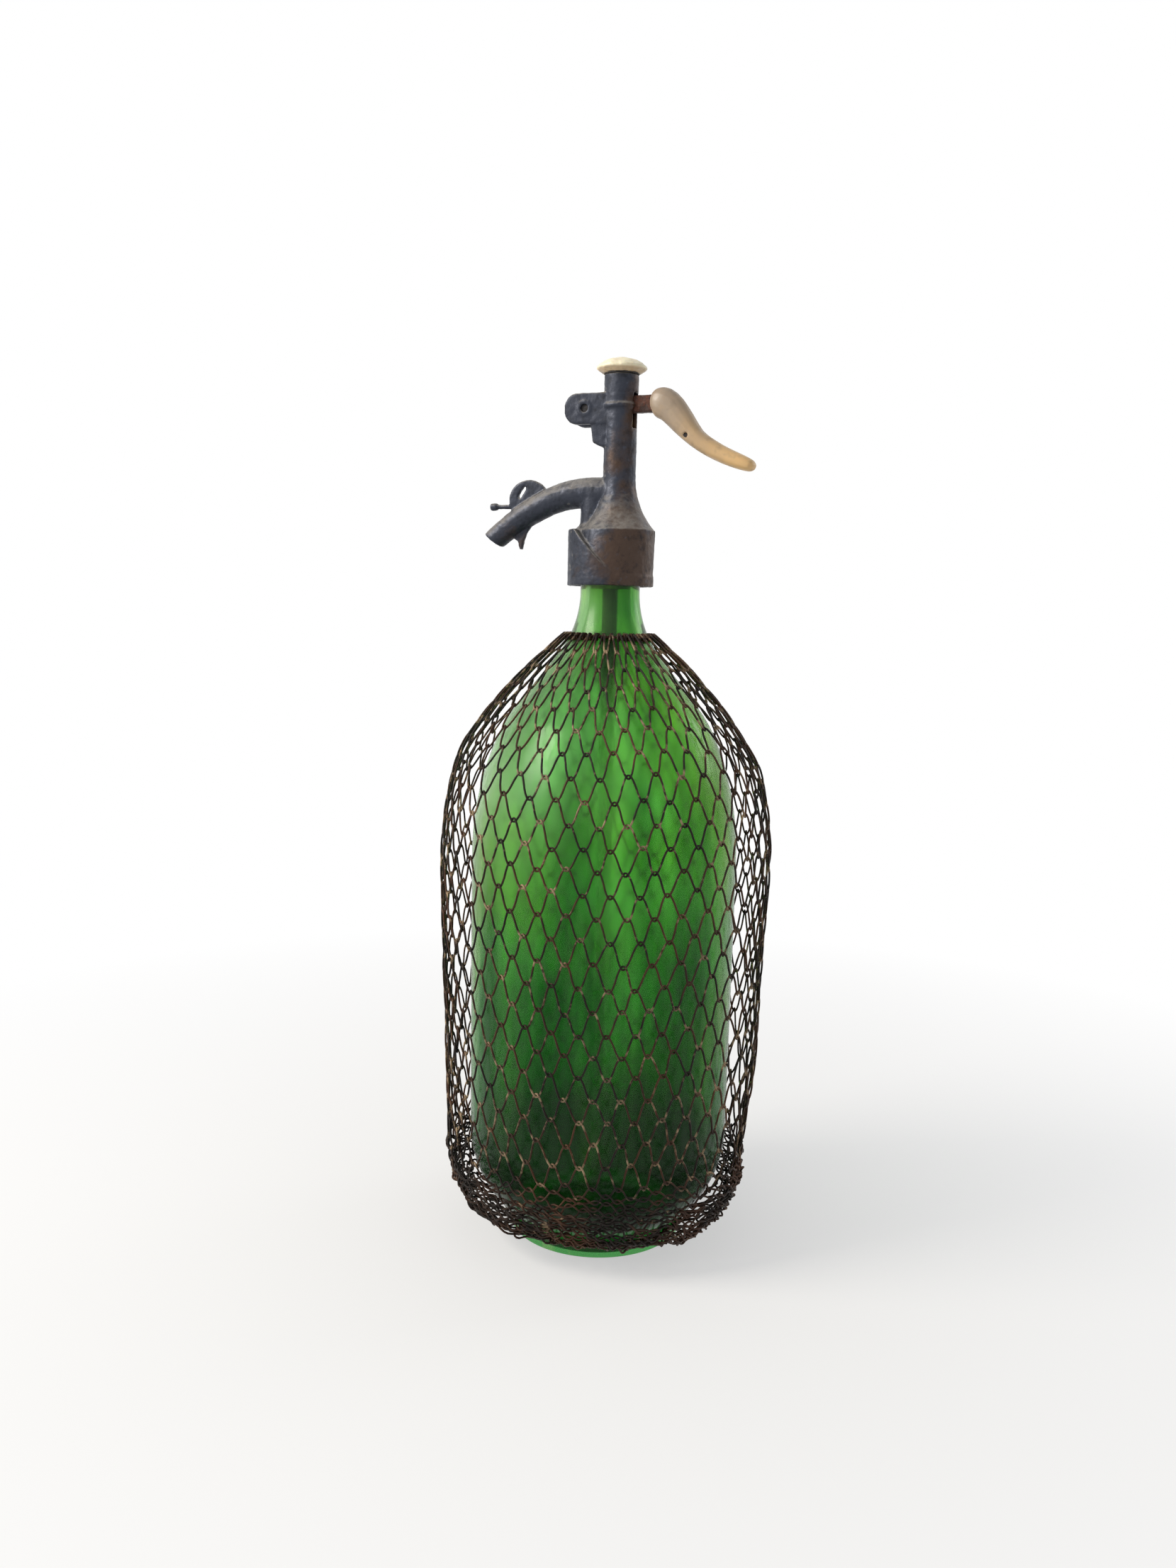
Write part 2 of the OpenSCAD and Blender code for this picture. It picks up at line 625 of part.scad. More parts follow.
// The arm from the plane x: straight through the barrel, then bent down inside the grip.
module arm_bar(x) {
    polygon([[x, pivot_z + arm_above], [arm_end_x, pivot_z + arm_above], [20, 329.8], [24.6, 325.4],
        [30.8, 317.4], [35.2, 312.8], [33.2, 310.9], [28.4, 313.9], [24, 318.4], [20.4, 322.4],
        [arm_end_x, pivot_z - arm_below], [x, pivot_z - arm_below]]);
}

module lever_arm() {
    color([0.36, 0.17, 0.1]) difference() {
        union() {
            cross_pin(pivot_x, pivot_z, arm_eye_r, arm_t);
            plate(arm_t) arm_bar(pivot_x);
        }
        cross_pin(pivot_x, pivot_z, pin_r + slip, 3 * arm_t);
        cross_pin(rivet_at[0], rivet_at[1], rivet_r, 3 * arm_t);
    }
}

// The grip's stations: the middle [x, z], the fall of the spine, half its height, half its width.
grip_stations = [[14.9, 328.4, 6, 1.6, 0.2], [15.9, 328.3, 8, 3.7, 0.36], [17.6, 328, 14, 5.2, 0.44],
    [20, 327.2, 28, 5.9, 0.49], [23.4, 324.8, 46, 5.5, 0.5], [28, 319.5, 52, 4.7, 0.5],
    [33, 314.2, 40, 3.6, 0.49], [38.6, 310.4, 28, 3.3, 0.47], [44.6, 307.3, 24, 3.05, 0.45],
    [50, 305.1, 23, 2.8, 0.43], [54.4, 303.4, 24, 2.2, 0.36], [55.8, 302.8, 25, 1, 0.2]];
grip_sides = 16;
grip_steps = 2;

module grip_solid() {
    power = 0.8;                   // below 1 the section is a rounded oblong
    function bulge(v) = sign(v) * pow(abs(v), power);
    steps = grip_steps * (len(grip_stations) - 1);
    loft([for (k = [0:steps])
        let (s = on_curve(grip_stations, k / grip_steps))
        [for (j = [0:grip_sides - 1])
            let (b = j * 360 / grip_sides, v = s[3] * bulge(cos(b)))
            [s[0] + v * sin(s[2]), -s[4] * grip_w * bulge(sin(b)), s[1] + v * cos(s[2])]]]);
}

module lever_grip() {
    color([0.78, 0.66, 0.52]) difference() {
        grip_solid();
        plate(arm_t) arm_bar(arm_end_x - 5);
        cross_pin(rivet_at[0], rivet_at[1], rivet_r, 2 * grip_w);
    }
}

module grip_rivet() {
    color([0.3, 0.28, 0.27]) cross_pin(rivet_at[0], rivet_at[1], rivet_r, 0.8 * grip_w);
}

glass_bottle();
wire_net();
net_top_hoop();
net_base_hoop();
neck_ring_front();
neck_ring_rear();
tube_ferrule();
tube_seal();
dip_tube();
neck_gasket();
head_body();
valve_seat();
valve_stem();
valve_disc();
disc_retainer();
stem_packing();
packing_washer();
spring_seat();
return_spring();
cap_washer();
cap_plug();
pivot_pin();
lever_arm();
lever_grip();
grip_rivet();
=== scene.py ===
"""The looks of a netted soda siphon: glass, wire netting, cast head, cap and lever.

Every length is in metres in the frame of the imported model. +Z is up, the spout points
along -X, the lever along +X, and the foot of the bottle stands on the plane Z = 0.
"""

import bisect
import math
import random

import bmesh
import bpy
from mathutils import Matrix, Vector, noise


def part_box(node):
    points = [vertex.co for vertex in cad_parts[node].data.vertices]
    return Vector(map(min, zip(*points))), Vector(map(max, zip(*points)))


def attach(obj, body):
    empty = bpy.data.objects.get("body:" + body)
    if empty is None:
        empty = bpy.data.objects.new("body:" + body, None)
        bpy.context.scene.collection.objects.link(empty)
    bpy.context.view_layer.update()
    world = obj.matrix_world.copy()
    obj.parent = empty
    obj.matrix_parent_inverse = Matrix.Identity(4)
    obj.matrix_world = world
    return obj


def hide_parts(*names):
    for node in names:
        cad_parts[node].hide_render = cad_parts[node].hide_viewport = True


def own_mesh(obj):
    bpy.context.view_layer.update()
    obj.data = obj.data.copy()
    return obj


bl_info = {
    "name": "Soda Siphon",
    "version": (1, 0, 0),
    "blender": (4, 5, 0),
    "location": "3D View > Sidebar > Siphon",
    "description": "Builds the glass, netting, head, cap and lever of a soda siphon",
    "category": "Add Mesh",
}

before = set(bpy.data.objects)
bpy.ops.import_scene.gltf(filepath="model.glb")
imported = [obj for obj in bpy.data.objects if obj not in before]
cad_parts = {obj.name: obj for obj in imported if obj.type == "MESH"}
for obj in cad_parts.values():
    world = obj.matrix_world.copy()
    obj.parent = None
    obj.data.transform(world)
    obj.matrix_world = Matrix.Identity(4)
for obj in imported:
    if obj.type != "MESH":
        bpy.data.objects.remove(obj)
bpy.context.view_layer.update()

MM = 0.001
# Points closer than WELD are one point, and those closer to the axis than ON_AXIS lie on it
WELD, ON_AXIS = 1e-6, 1e-7
# How fast the finer waves of roughened surfaces fade, how much finer each one is, and their number
WAVE_FADE, WAVE_STEP, WAVE_COUNT = 0.6, 2, 3

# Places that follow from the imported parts
BOTTLE_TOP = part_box("glass_bottle")[1]
TOP_HOOP_LOW, TOP_HOOP_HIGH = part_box("net_top_hoop")
BASE_HOOP_LOW, BASE_HOOP_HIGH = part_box("net_base_hoop")
CAP_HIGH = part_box("cap_plug")[1]


# ---------- settings ----------

def length(name, description, default, **more):
    """A length that a user may change."""
    return bpy.props.FloatProperty(
        name=name, description=description, default=default, unit="LENGTH", precision=5, **more)


def tint(name, description, default):
    """A linear colour that a user may change."""
    return bpy.props.FloatVectorProperty(
        name=name, description=description, default=default, size=3, subtype="COLOR", min=0, max=1)


class GlassSettings(bpy.types.PropertyGroup):
    """Sizes and colours of the bottle."""

    wall: length("Wall", "Thickness of the glass wall", 3.5 * MM, min=2 * MM, max=5 * MM)
    foot_radius: length("Foot radius", "Outer radius of the foot", 35 * MM)
    neck_radius: length("Neck radius", "Outer radius of the neck", 11.5 * MM)
    segments: bpy.props.IntProperty(
        name="Segments", description="Flat steps round the bottle", default=160, min=32, max=512)
    pale: tint("Pale green", "Glass at its thinnest", (0.34, 0.82, 0.26))
    olive: tint("Olive", "Yellower clouds in the glass", (0.36, 0.66, 0.11))
    # Deep green also carries painted shade, towards the bottom and on the lever (+X) side of the
    # neck
    deep: tint("Deep green", "Glass in its thick and streaky parts", (0.014, 0.22, 0.018))
    # The colour of the painted highlight on the spout (-X) side of the shoulder
    highlight_and_streaks: tint("Painted film", "Pale film on one shoulder", (0.66, 0.90, 0.60))


class NetSettings(bpy.types.PropertyGroup):
    """Sizes and colours of the wire netting."""

    columns: bpy.props.IntProperty(
        name="Columns", description="Cells in one ring of the netting", default=38, min=8, max=80)
    half_rows: bpy.props.IntProperty(
        name="Half rows", description="Rings of wire between the hoops", default=48, min=6, max=80)
    wire: length("Wire", "Diameter of the netting wire", 0.8 * MM, min=0.4 * MM, max=2 * MM)
    hook: length("Hook", "How far each bend reaches past the one it hooks", 0.62 * MM)
    bend_width: length("Bend width", "Width of the flat bottom of each bend", 2.3 * MM)
    unevenness: length("Unevenness", "How far the cells are pulled out of place", 1.9 * MM)
    squash: bpy.props.FloatProperty(
        name="Squash", description="How much the lowest rows have sunk together", default=0.88,
        min=0, max=0.95, subtype="FACTOR")
    dark: tint("Dark iron", "Bare dark wire", (0.014, 0.010, 0.008))
    rust: tint("Rust", "Rusted wire", (0.075, 0.033, 0.017))
    # Also the colour of the painted highlights on the bends and on the wire low on the bottle and
    # near the neck
    dust_and_glint: tint("Dust", "Dry rust, rubbed pale where the bends hook", (0.40, 0.29, 0.18))


class HeadSettings(bpy.types.PropertyGroup):
    """Finish of the cast head."""

    voxel: length("Voxel", "Finest form of the cast surface", 0.42 * MM, min=0.2 * MM, max=1 * MM)
    pitting: length("Pitting", "Depth of the cast surface's unevenness", 0.1 * MM)
    metal: tint("Metal", "Blue-grey tin alloy", (0.032, 0.037, 0.053))
    patina: tint("Patina", "Brown patina", (0.064, 0.039, 0.028))
    # Also the colour of the painted highlight on the head's upward faces
    worn_and_lit: tint("Worn edge", "Edges rubbed bright", (0.34, 0.315, 0.285))


class LeverSettings(bpy.types.PropertyGroup):
    """Finish of the arm and its grip."""

    voxel: length("Voxel", "Finest form of the moulded grip", 0.35 * MM, min=0.2 * MM, max=1 * MM)
    shoulder: tint("Shoulder", "Greyed plastic near the barrel", (0.34, 0.265, 0.195))
    tip: tint("Tip", "Amber plastic at the end", (0.74, 0.49, 0.23))
    iron: tint("Iron", "Rusted arm", (0.088, 0.027, 0.013))
    cap: tint("Cap", "Yellowed cream plastic", (0.97, 0.89, 0.66))


class StageSettings(bpy.types.PropertyGroup):
    """The floor, the lamps and the camera."""

    distance: length("Distance", "From the bottle's axis to the camera, level", 0.5)
    height: length("Height", "Height of the camera over the floor", 0.247)
    azimuth: bpy.props.FloatProperty(
        name="Azimuth", description="Side that the camera sees", default=math.radians(21),
        subtype="ANGLE")
    pitch: bpy.props.FloatProperty(
        name="Pitch", description="How far the camera looks down", default=math.radians(7.5),
        subtype="ANGLE")
    yaw: bpy.props.FloatProperty(
        name="Yaw", description="How far the camera looks to the left of the axis",
        default=math.radians(0.8), subtype="ANGLE")
    roll: bpy.props.FloatProperty(
        name="Roll", description="How far the camera leans", default=math.radians(1.25),
        subtype="ANGLE")
    lens: bpy.props.FloatProperty(
        name="Lens", description="Focal length in millimetres on a 36 mm long side", default=29.16,
        min=10, max=200)
    key: bpy.props.FloatProperty(
        name="Key", description="Power of the warm lamp on the left", default=12.5, min=0,
        unit="POWER")
    rim: bpy.props.FloatProperty(
        name="Rim", description="Power of the lamp on the right, behind", default=1.2, min=0,
        unit="POWER")
    sky: bpy.props.FloatProperty(
        name="Sky", description="Strength of the even light from all round", default=0.38, min=0)


# ---------- mesh helpers ----------

def shade_smooth(piece):
    """Lets the shading run smoothly from face to face."""
    polygons = piece.data.polygons
    polygons.foreach_set("use_smooth", [True] * len(polygons))


def scene_object(name, data):
    """A new object in the scene."""
    made = bpy.data.objects.new(name, data)
    bpy.context.scene.collection.objects.link(made)
    return made


def mesh_piece(name, points, faces):
    """A new smooth mesh object from points and faces."""
    mesh = bpy.data.meshes.new(name)
    mesh.from_pydata([tuple(p) for p in points], [], faces)
    mesh.update()
    piece = scene_object(name, mesh)
    shade_smooth(piece)
    return piece


def wear(piece, material):
    """Gives a piece one material."""
    piece.data.materials.clear()
    piece.data.materials.append(material)


def finish_node(name, material):
    """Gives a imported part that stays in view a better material."""
    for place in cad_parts[name].material_slots:
        place.material = material


def arc(centre, radius, first, last, steps=24):
    """Points on an arc, angles in degrees."""
    turns = [math.radians(first + (last - first) * i / steps) for i in range(steps + 1)]
    return [(centre[0] + radius * math.cos(a), centre[1] + radius * math.sin(a)) for a in turns]


def lathe(outline, segments):
    """Points and faces of a (radius, height) outline turned round Z. Ends on the axis close up."""
    points, faces, rings = [], [], []
    for r, z in outline:
        if r < ON_AXIS:
            rings.append([len(points)] * segments)
            points.append((0, 0, z))
            continue
        rings.append(list(range(len(points), len(points) + segments)))
        for i in range(segments):
            a = 2 * math.pi * i / segments
            points.append((r * math.cos(a), r * math.sin(a), z))
    for low, high in zip(rings, rings[1:]):
        for i in range(segments):
            j = (i + 1) % segments
            corners = [low[i], low[j], high[j], high[i]]
            face = [c for n, c in enumerate(corners) if c not in corners[:n]]
            if len(face) > 2:
                faces.append(face)
    return points, faces


def sweep(path, outward, radius, sides, closed):
    """Points and faces of a round wire along a path.

    outward gives a direction across the wire at each point.
    """
    points, faces, last = [], [], len(path)
    for i, p in enumerate(path):
        before = path[i - 1] if closed or i else p
        after = path[(i + 1) % last] if closed or i + 1 < last else p
        along = (after - before).normalized()
        across = (outward[i] - along * outward[i].dot(along)).normalized()
        side = along.cross(across)
        for j in range(sides):
            a = 2 * math.pi * j / sides
            points.append(p + radius * (math.cos(a) * across + math.sin(a) * side))
    for i in range(last if closed else last - 1):
        a, b = i * sides, (i + 1) % last * sides
        for j in range(sides):
            k = (j + 1) % sides
            faces.append((a + j, a + k, b + k, b + j))
    if not closed:
        faces.append(tuple(range(sides))[::-1])
        faces.append(tuple(range((last - 1) * sides, last * sides)))
    return points, faces


def gather(parts):
    """Joins several (points, faces) into one."""
    points, faces = [], []
    for some, more in parts:
        start = len(points)
        points.extend(some)
        faces.extend(tuple(i + start for i in f) for f in more)
    return points, faces


def plain_copy(name, node):
    """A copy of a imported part, closed up where its faces only meet."""
    grid = bmesh.new()
    grid.from_mesh(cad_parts[node].data)
    bmesh.ops.remove_doubles(grid, verts=grid.verts, dist=WELD)
    mesh = bpy.data.meshes.new(name)
    grid.to_mesh(mesh)
    grid.free()
    return scene_object(name, mesh)


def softened_copy(name, node, voxel, rounds):
    """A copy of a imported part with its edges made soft."""
    piece = plain_copy(name, node)
    remesh = piece.modifiers.new("Remesh", "REMESH")
    remesh.mode = "VOXEL"
    remesh.voxel_size = voxel
    soften = piece.modifiers.new("Soften", "SMOOTH")
    soften.factor = 0.5
    soften.iterations = rounds
    apply_modifiers(piece)
    shade_smooth(piece)
    return piece


def apply_modifiers(piece):
    """Turns a piece's modifiers into plain mesh."""
    seen = piece.evaluated_get(bpy.context.evaluated_depsgraph_get())
    made = bpy.data.meshes.new_from_object(seen)
    old = piece.data
    piece.modifiers.clear()
    piece.data = made
    made.name = piece.name
    bpy.data.meshes.remove(old)


def roughen(piece, depth, scale, seed):
    """Moves each point along its normal by smooth noise of about depth, features 1/scale apart."""
    shift = Vector((seed, 2 * seed, 3 * seed))
    mesh = piece.data
    moved = []
    for v in mesh.vertices:
        wave = noise.fractal(v.co * scale + shift, WAVE_FADE, WAVE_STEP, WAVE_COUNT)
        moved.append(v.co + v.normal * depth * wave)
    mesh.vertices.foreach_set("co", [c for p in moved for c in p])
    mesh.update()


# ---------- material helpers ----------

class Finish:
    """A procedural material under construction, in the coordinates of its object."""

    def __init__(self, name):
        self.material = bpy.data.materials.new(name)
        self.material.use_nodes = True
        self.tree = self.material.node_tree
        self.shader = self.tree.nodes["Principled BSDF"]
        self.place = self.add("ShaderNodeTexCoord").outputs["Object"]

    def add(self, kind, **values):
        """A node with constants set on its properties, or on the sockets of those names."""
        node = self.tree.nodes.new(kind)
        for key, value in values.items():
            if hasattr(node, key):
                setattr(node, key, value)
            else:
                node.inputs[key.replace("_", " ")].default_value = value
        return node

    def link(self, source, target):
        """Feeds one socket into another."""
        self.tree.links.new(source, target)

    def set(self, **values):
        """Constants on the shader's own sockets."""
        for key, value in values.items():
            self.shader.inputs[key.replace("_", " ")].default_value = value

    def stretched(self, x, y, z):
        """The object's coordinates, scaled along each axis."""
        mapping = self.add("ShaderNodeMapping", Scale=(x, y, z))
        self.link(self.place, mapping.inputs["Vector"])
        return mapping.outputs["Vector"]

    def noise(self, scale, detail=4, rough=0.55, place=None):
        """Smooth noise with features about 1 / scale across, in metres."""
        node = self.add("ShaderNodeTexNoise", Scale=scale, Detail=detail, Roughness=rough)
        self.link(place or self.place, node.inputs["Vector"])
        return node.outputs["Fac"]

    def ramp(self, value, low, high, from_low=0.0, to_high=1.0):
        """Maps value from low..high to another range, clamped."""
        node = self.add(
            "ShaderNodeMapRange", From_Min=low, From_Max=high, To_Min=from_low, To_Max=to_high)
        self.link(value, node.inputs["Value"])
        return node.outputs["Result"]

    def mix(self, share, first, second):
        """A colour between two, each a colour or a socket."""
        node = self.add("ShaderNodeMix", data_type="RGBA")
        self.link(share, node.inputs["Factor"])
        for key, colour in (("A", first), ("B", second)):
            target = next(s for s in node.inputs if s.name == key and s.type == "RGBA")
            if isinstance(colour, bpy.types.NodeSocket):
                self.link(colour, target)
            else:
                target.default_value = (*colour, 1)
        return next(s for s in node.outputs if s.type == "RGBA")

    def sum(self, first, second, operation="ADD"):
        """Two values put together, each a number or a socket."""
        node = self.add("ShaderNodeMath", operation=operation)
        for target, value in zip(node.inputs, (first, second)):
            if isinstance(value, bpy.types.NodeSocket):
                self.link(value, target)
            else:
                target.default_value = value
        return node.outputs[0]

    def axis(self, name, source=None):
        """One coordinate of the object, or of another vector, as a value."""
        node = self.add("ShaderNodeSeparateXYZ")
        self.link(source or self.place, node.inputs[0])
        return node.outputs[name]

    def facing_up(self):
        """How far the surface faces up, from -1 to 1."""
        return self.axis("Z", self.add("ShaderNodeTexCoord").outputs["Normal"])

    def colour(self, source):
        """Takes the shader's colour from a socket."""
        self.link(source, self.shader.inputs["Base Color"])

    def gloss(self, source):
        """Takes the shader's roughness from a socket."""
        self.link(source, self.shader.inputs["Roughness"])

    def relief(self, *layers):
        """Bump from (height, strength, distance) layers, the first one deepest."""
        normal = None
        for height, strength, distance in layers:
            node = self.add("ShaderNodeBump", Strength=strength, Distance=distance)
            self.link(height, node.inputs["Height"])
            if normal is not None:
                self.link(normal, node.inputs["Normal"])
            normal = node.outputs["Normal"]
        self.link(normal, self.shader.inputs["Normal"])


# ---------- finishes ----------

def shaded(colour, factor):
    """A colour made darker or paler by a factor, full brightness at most."""
    return tuple(min(1, c * factor) for c in colour)


def green_glass(settings):
    """Old blown glass: clear green with upright streaks. It is darker towards the bottom, partly
    for its thick heel and partly as painted shade, deeper green in the neck and most on the lever
    (+X) side as painted shade, and paler on the spout (-X) side of the shoulder as a painted
    highlight.

    The index is below that of real glass, because white surroundings would veil it in grey.
    """
    f = Finish("green_glass")
    f.set(IOR=1.2, Coat_Weight=0.2, Coat_Roughness=0.32)
    streaks = f.noise(1, 4, 0.55, f.stretched(70, 70, 6))
    clouds = f.noise(20, 3)
    mixed = f.sum(f.sum(streaks, 0.7, "MULTIPLY"), f.sum(clouds, 0.3, "MULTIPLY"))
    height, across = f.axis("Z"), f.axis("X")
    # Darker towards the bottom, up to 160 mm: partly the thick heel, partly painted shade
    low = f.ramp(height, 0.0, 0.16, 0.9, 0.0)
    # Deeper green in the neck, and most on the lever (+X) side, away from the key lamp: there it is
    # painted shade
    neck = f.ramp(height, 0.222, 0.25)
    neck = f.sum(f.ramp(across, -0.004, 0.01, 0.22, 0.7), neck, "MULTIPLY")
    share = f.sum(f.ramp(mixed, 0.42, 0.60, 0, 0.7), f.sum(low, neck))
    body = f.mix(f.ramp(f.noise(13, 2), 0.42, 0.62), tuple(settings.pale), tuple(settings.olive))
    # Painted highlight: on the spout (-X) side of the shoulder, about 135 to 185 mm up, the glass
    # is paler and lets less light through, in place of the key lamp's broad reflection
    highlight_and_streaks = f.sum(f.ramp(across, 0.01, -0.045), f.ramp(height, 0.135, 0.185), "MULTIPLY")
    highlight_and_streaks = f.sum(highlight_and_streaks, f.ramp(clouds, 0.35, 0.6, 0.35, 0.9), "MULTIPLY")
    f.link(f.ramp(highlight_and_streaks, 0, 1, 0.93, 0.68), f.shader.inputs["Transmission Weight"])
    body = f.mix(f.ramp(share, 0, 1), body, tuple(settings.deep))
    body = f.mix(highlight_and_streaks, body, tuple(settings.highlight_and_streaks))
    # A near-black band from about 6 to 50 mm up: partly the thick heel, partly painted shade
    heel = f.sum(f.ramp(height, 0.006, 0.011), f.ramp(height, 0.02, 0.05, 0.85, 0), "MULTIPLY")
    f.colour(f.mix(heel, body, shaded(settings.deep, 0.15)))
    f.gloss(f.ramp(f.noise(60, 4, 0.6), 0.35, 0.7, 0.12, 0.26))
    f.relief((f.noise(17, 2), 0.45, 0.0015),
             (f.noise(1, 3, 0.5, f.stretched(120, 120, 14)), 0.2, 0.0003))
    return f.material


def tube_glass():
    """A thin glass tube, clear in the bottle and dark and streaky in the neck."""
    f = Finish("tube_glass")
    f.set(IOR=1.12, Transmission_Weight=0.8)
    highlight_and_streaks = f.noise(1, 4, 0.6, f.stretched(200, 200, 30))
    dim = f.mix(f.ramp(highlight_and_streaks, 0.4, 0.7), (0.05, 0.10, 0.04), (0.12, 0.13, 0.05))
    f.colour(f.mix(f.ramp(f.axis("Z"), 0.2, 0.235), (0.72, 0.84, 0.66), dim))
    f.gloss(f.ramp(highlight_and_streaks, 0.4, 0.8, 0.15, 0.4))
    f.relief((highlight_and_streaks, 0.15, 0.0002))
    return f.material


def iron_wire(settings, name="iron_wire", rusted=0.0):
    """Thin dark wire: bare iron and rust in patches, rubbed pale on the bends. The pale bends, and
    the paler wire low on the bottle and near the neck, are partly dust and partly painted
    highlight, and the wire at its foot is darker with painted shade.
    """
    f = Finish(name)
    f.set(Metallic=0.35, Specular_IOR_Level=0.25)
    bends = f.add("ShaderNodeAttribute", attribute_name=BEND).outputs["Fac"]
    patches = f.noise(55, 4, 0.6)
    grain = f.noise(1500, 4, 0.7)
    rusty = f.ramp(f.sum(patches, rusted), 0.44, 0.66)
    worn_and_lit = f.sum(f.noise(210, 3), f.sum(grain, 0.3, "MULTIPLY"))
    # The bends are paler: partly dust, partly painted highlight
    worn_and_lit = f.sum(worn_and_lit, f.sum(bends, 0.08, "MULTIPLY"))
    height = f.axis("Z")
    # Paler from the foot up to 110 mm and above 200 mm near the neck: partly dust, partly painted
    # glints
    ends = f.sum(f.ramp(height, 0.05, 0.11, 0.04, 0), f.ramp(height, 0.2, 0.235, 0, 0.06))
    # Less dust below 32 to 42 mm, so the wire at the foot is darker: painted shade
    worn_and_lit = f.sum(f.sum(worn_and_lit, ends), f.ramp(height, 0.032, 0.042, -0.14, 0))
    body = f.mix(rusty, tuple(settings.dark), tuple(settings.rust))
    f.colour(f.mix(f.ramp(worn_and_lit, 0.76, 0.92, 0, 0.8), body, tuple(settings.dust_and_glint)))
    f.gloss(f.ramp(grain, 0.3, 0.7, 0.36, 0.72))
    f.relief((grain, 0.5, 0.00012))
    return f.material


def cast_metal(settings):
    """Cast tin alloy: blue-grey, brown where it is handled, rubbed bright on its edges, and pale on
    its upward faces, partly dust and partly painted highlight.
    """
    f = Finish("cast_metal")
    f.set(Metallic=0.5, Specular_IOR_Level=0.4)
    fine = f.noise(900, 5, 0.7)
    spots = f.noise(230, 5, 0.65)
    clouds = f.noise(52, 4, 0.6)
    side = f.ramp(f.axis("X"), -0.006, 0.014, -0.16, 0.2)
    low = f.ramp(f.axis("Z"), 0.262, 0.3, 0.1, -0.04)
    brown = f.ramp(f.sum(f.sum(clouds, side), low), 0.46, 0.62)
    body = f.mix(brown, tuple(settings.metal), tuple(settings.patina))
    body = f.mix(f.ramp(spots, 0.52, 0.72, 0, 0.75), body, shaded(settings.metal, 0.3))
    body = f.mix(f.ramp(f.noise(420, 3), 0.6, 0.78, 0, 0.45), body, shaded(settings.metal, 2.6))
    edge = f.add("ShaderNodeNewGeometry").outputs["Pointiness"]
    # Upward faces above the collar's foot turn pale: partly dust, partly painted highlight
    upper = f.ramp(f.facing_up(), 0.2, 0.75, 0, 0.8)
    upper = f.sum(upper, f.ramp(f.axis("Z"), 0.264, 0.268), "MULTIPLY")
    rubbed_and_lit = f.sum(f.ramp(edge, 0.53, 0.61, 0, 0.4), upper, "MAXIMUM")
    rubbed_and_lit = f.sum(rubbed_and_lit, f.ramp(spots, 0.36, 0.6, 0.3, 1), "MULTIPLY")
    f.colour(f.mix(rubbed_and_lit, body, tuple(settings.worn_and_lit)))
    f.gloss(f.ramp(spots, 0.3, 0.7, 0.34, 0.62))
    f.relief((spots, 0.35, 0.0005), (fine, 0.3, 0.00015))
    return f.material


def plain_metal(name, colour, tarnish, metallic=0.9, rough=0.3):
    """Turned or drawn metal with tarnish in patches."""
    f = Finish(name)
    f.set(Metallic=metallic)
    patches = f.noise(180, 4, 0.6)
    grain = f.noise(1200, 3)
    f.colour(f.mix(f.ramp(patches, 0.4, 0.65), colour, tarnish))
    f.gloss(f.ramp(grain, 0.3, 0.7, rough, rough + 0.25))
    f.relief((grain, 0.25, 0.0001))
    return f.material


def old_rubber(name, colour, bloom):
    """Aged rubber with a dull bloom."""
    f = Finish(name)
    patches = f.noise(260, 4, 0.6)
    f.colour(f.mix(f.ramp(patches, 0.4, 0.7), colour, bloom))
    f.gloss(f.ramp(patches, 0.3, 0.7, 0.6, 0.85))
    f.relief((f.noise(1400, 3), 0.3, 0.0001))
    return f.material


def rusted_iron(settings):
    """A flat iron arm: deep red rust with dark scale."""
    f = Finish("rusted_iron")
    f.set(Metallic=0.25)
    scale = f.noise(310, 5, 0.68)
    grain = f.noise(1300, 4, 0.7)
    body = f.mix(f.ramp(scale, 0.42, 0.6), shaded(settings.iron, 0.3), tuple(settings.iron))
    f.colour(f.mix(f.ramp(grain, 0.55, 0.75, 0, 0.6), body, shaded(settings.iron, 2.6)))
    f.gloss(f.ramp(grain, 0.3, 0.7, 0.45, 0.8))
    f.relief((scale, 0.5, 0.0004), (grain, 0.4, 0.00015))
    return f.material


def grip_plastic(settings):
    """Moulded plastic, greyed by hands at the shoulder and amber at the thin tip."""
    f = Finish("grip_plastic")
    f.set(IOR=1.5, Subsurface_Weight=0.12, Subsurface_Scale=0.002,
          Subsurface_Radius=(1.0, 0.6, 0.3))
    clouds = f.noise(95, 4, 0.55)
    along = f.ramp(f.axis("X"), 0.022, 0.05)
    wavy = f.sum(along, f.ramp(clouds, 0.3, 0.7, -0.16, 0.16))
    body = f.mix(f.ramp(wavy, 0, 1), tuple(settings.shoulder), tuple(settings.tip))
    smudge = f.noise(260, 2, 0.5)
    f.colour(f.mix(f.ramp(smudge, 0.55, 0.75, 0, 0.4), body, shaded(settings.shoulder, 0.55)))
    f.gloss(f.ramp(smudge, 0.3, 0.7, 0.34, 0.56))
    f.relief((f.noise(90, 1), 0.25, 0.0006))
    return f.material


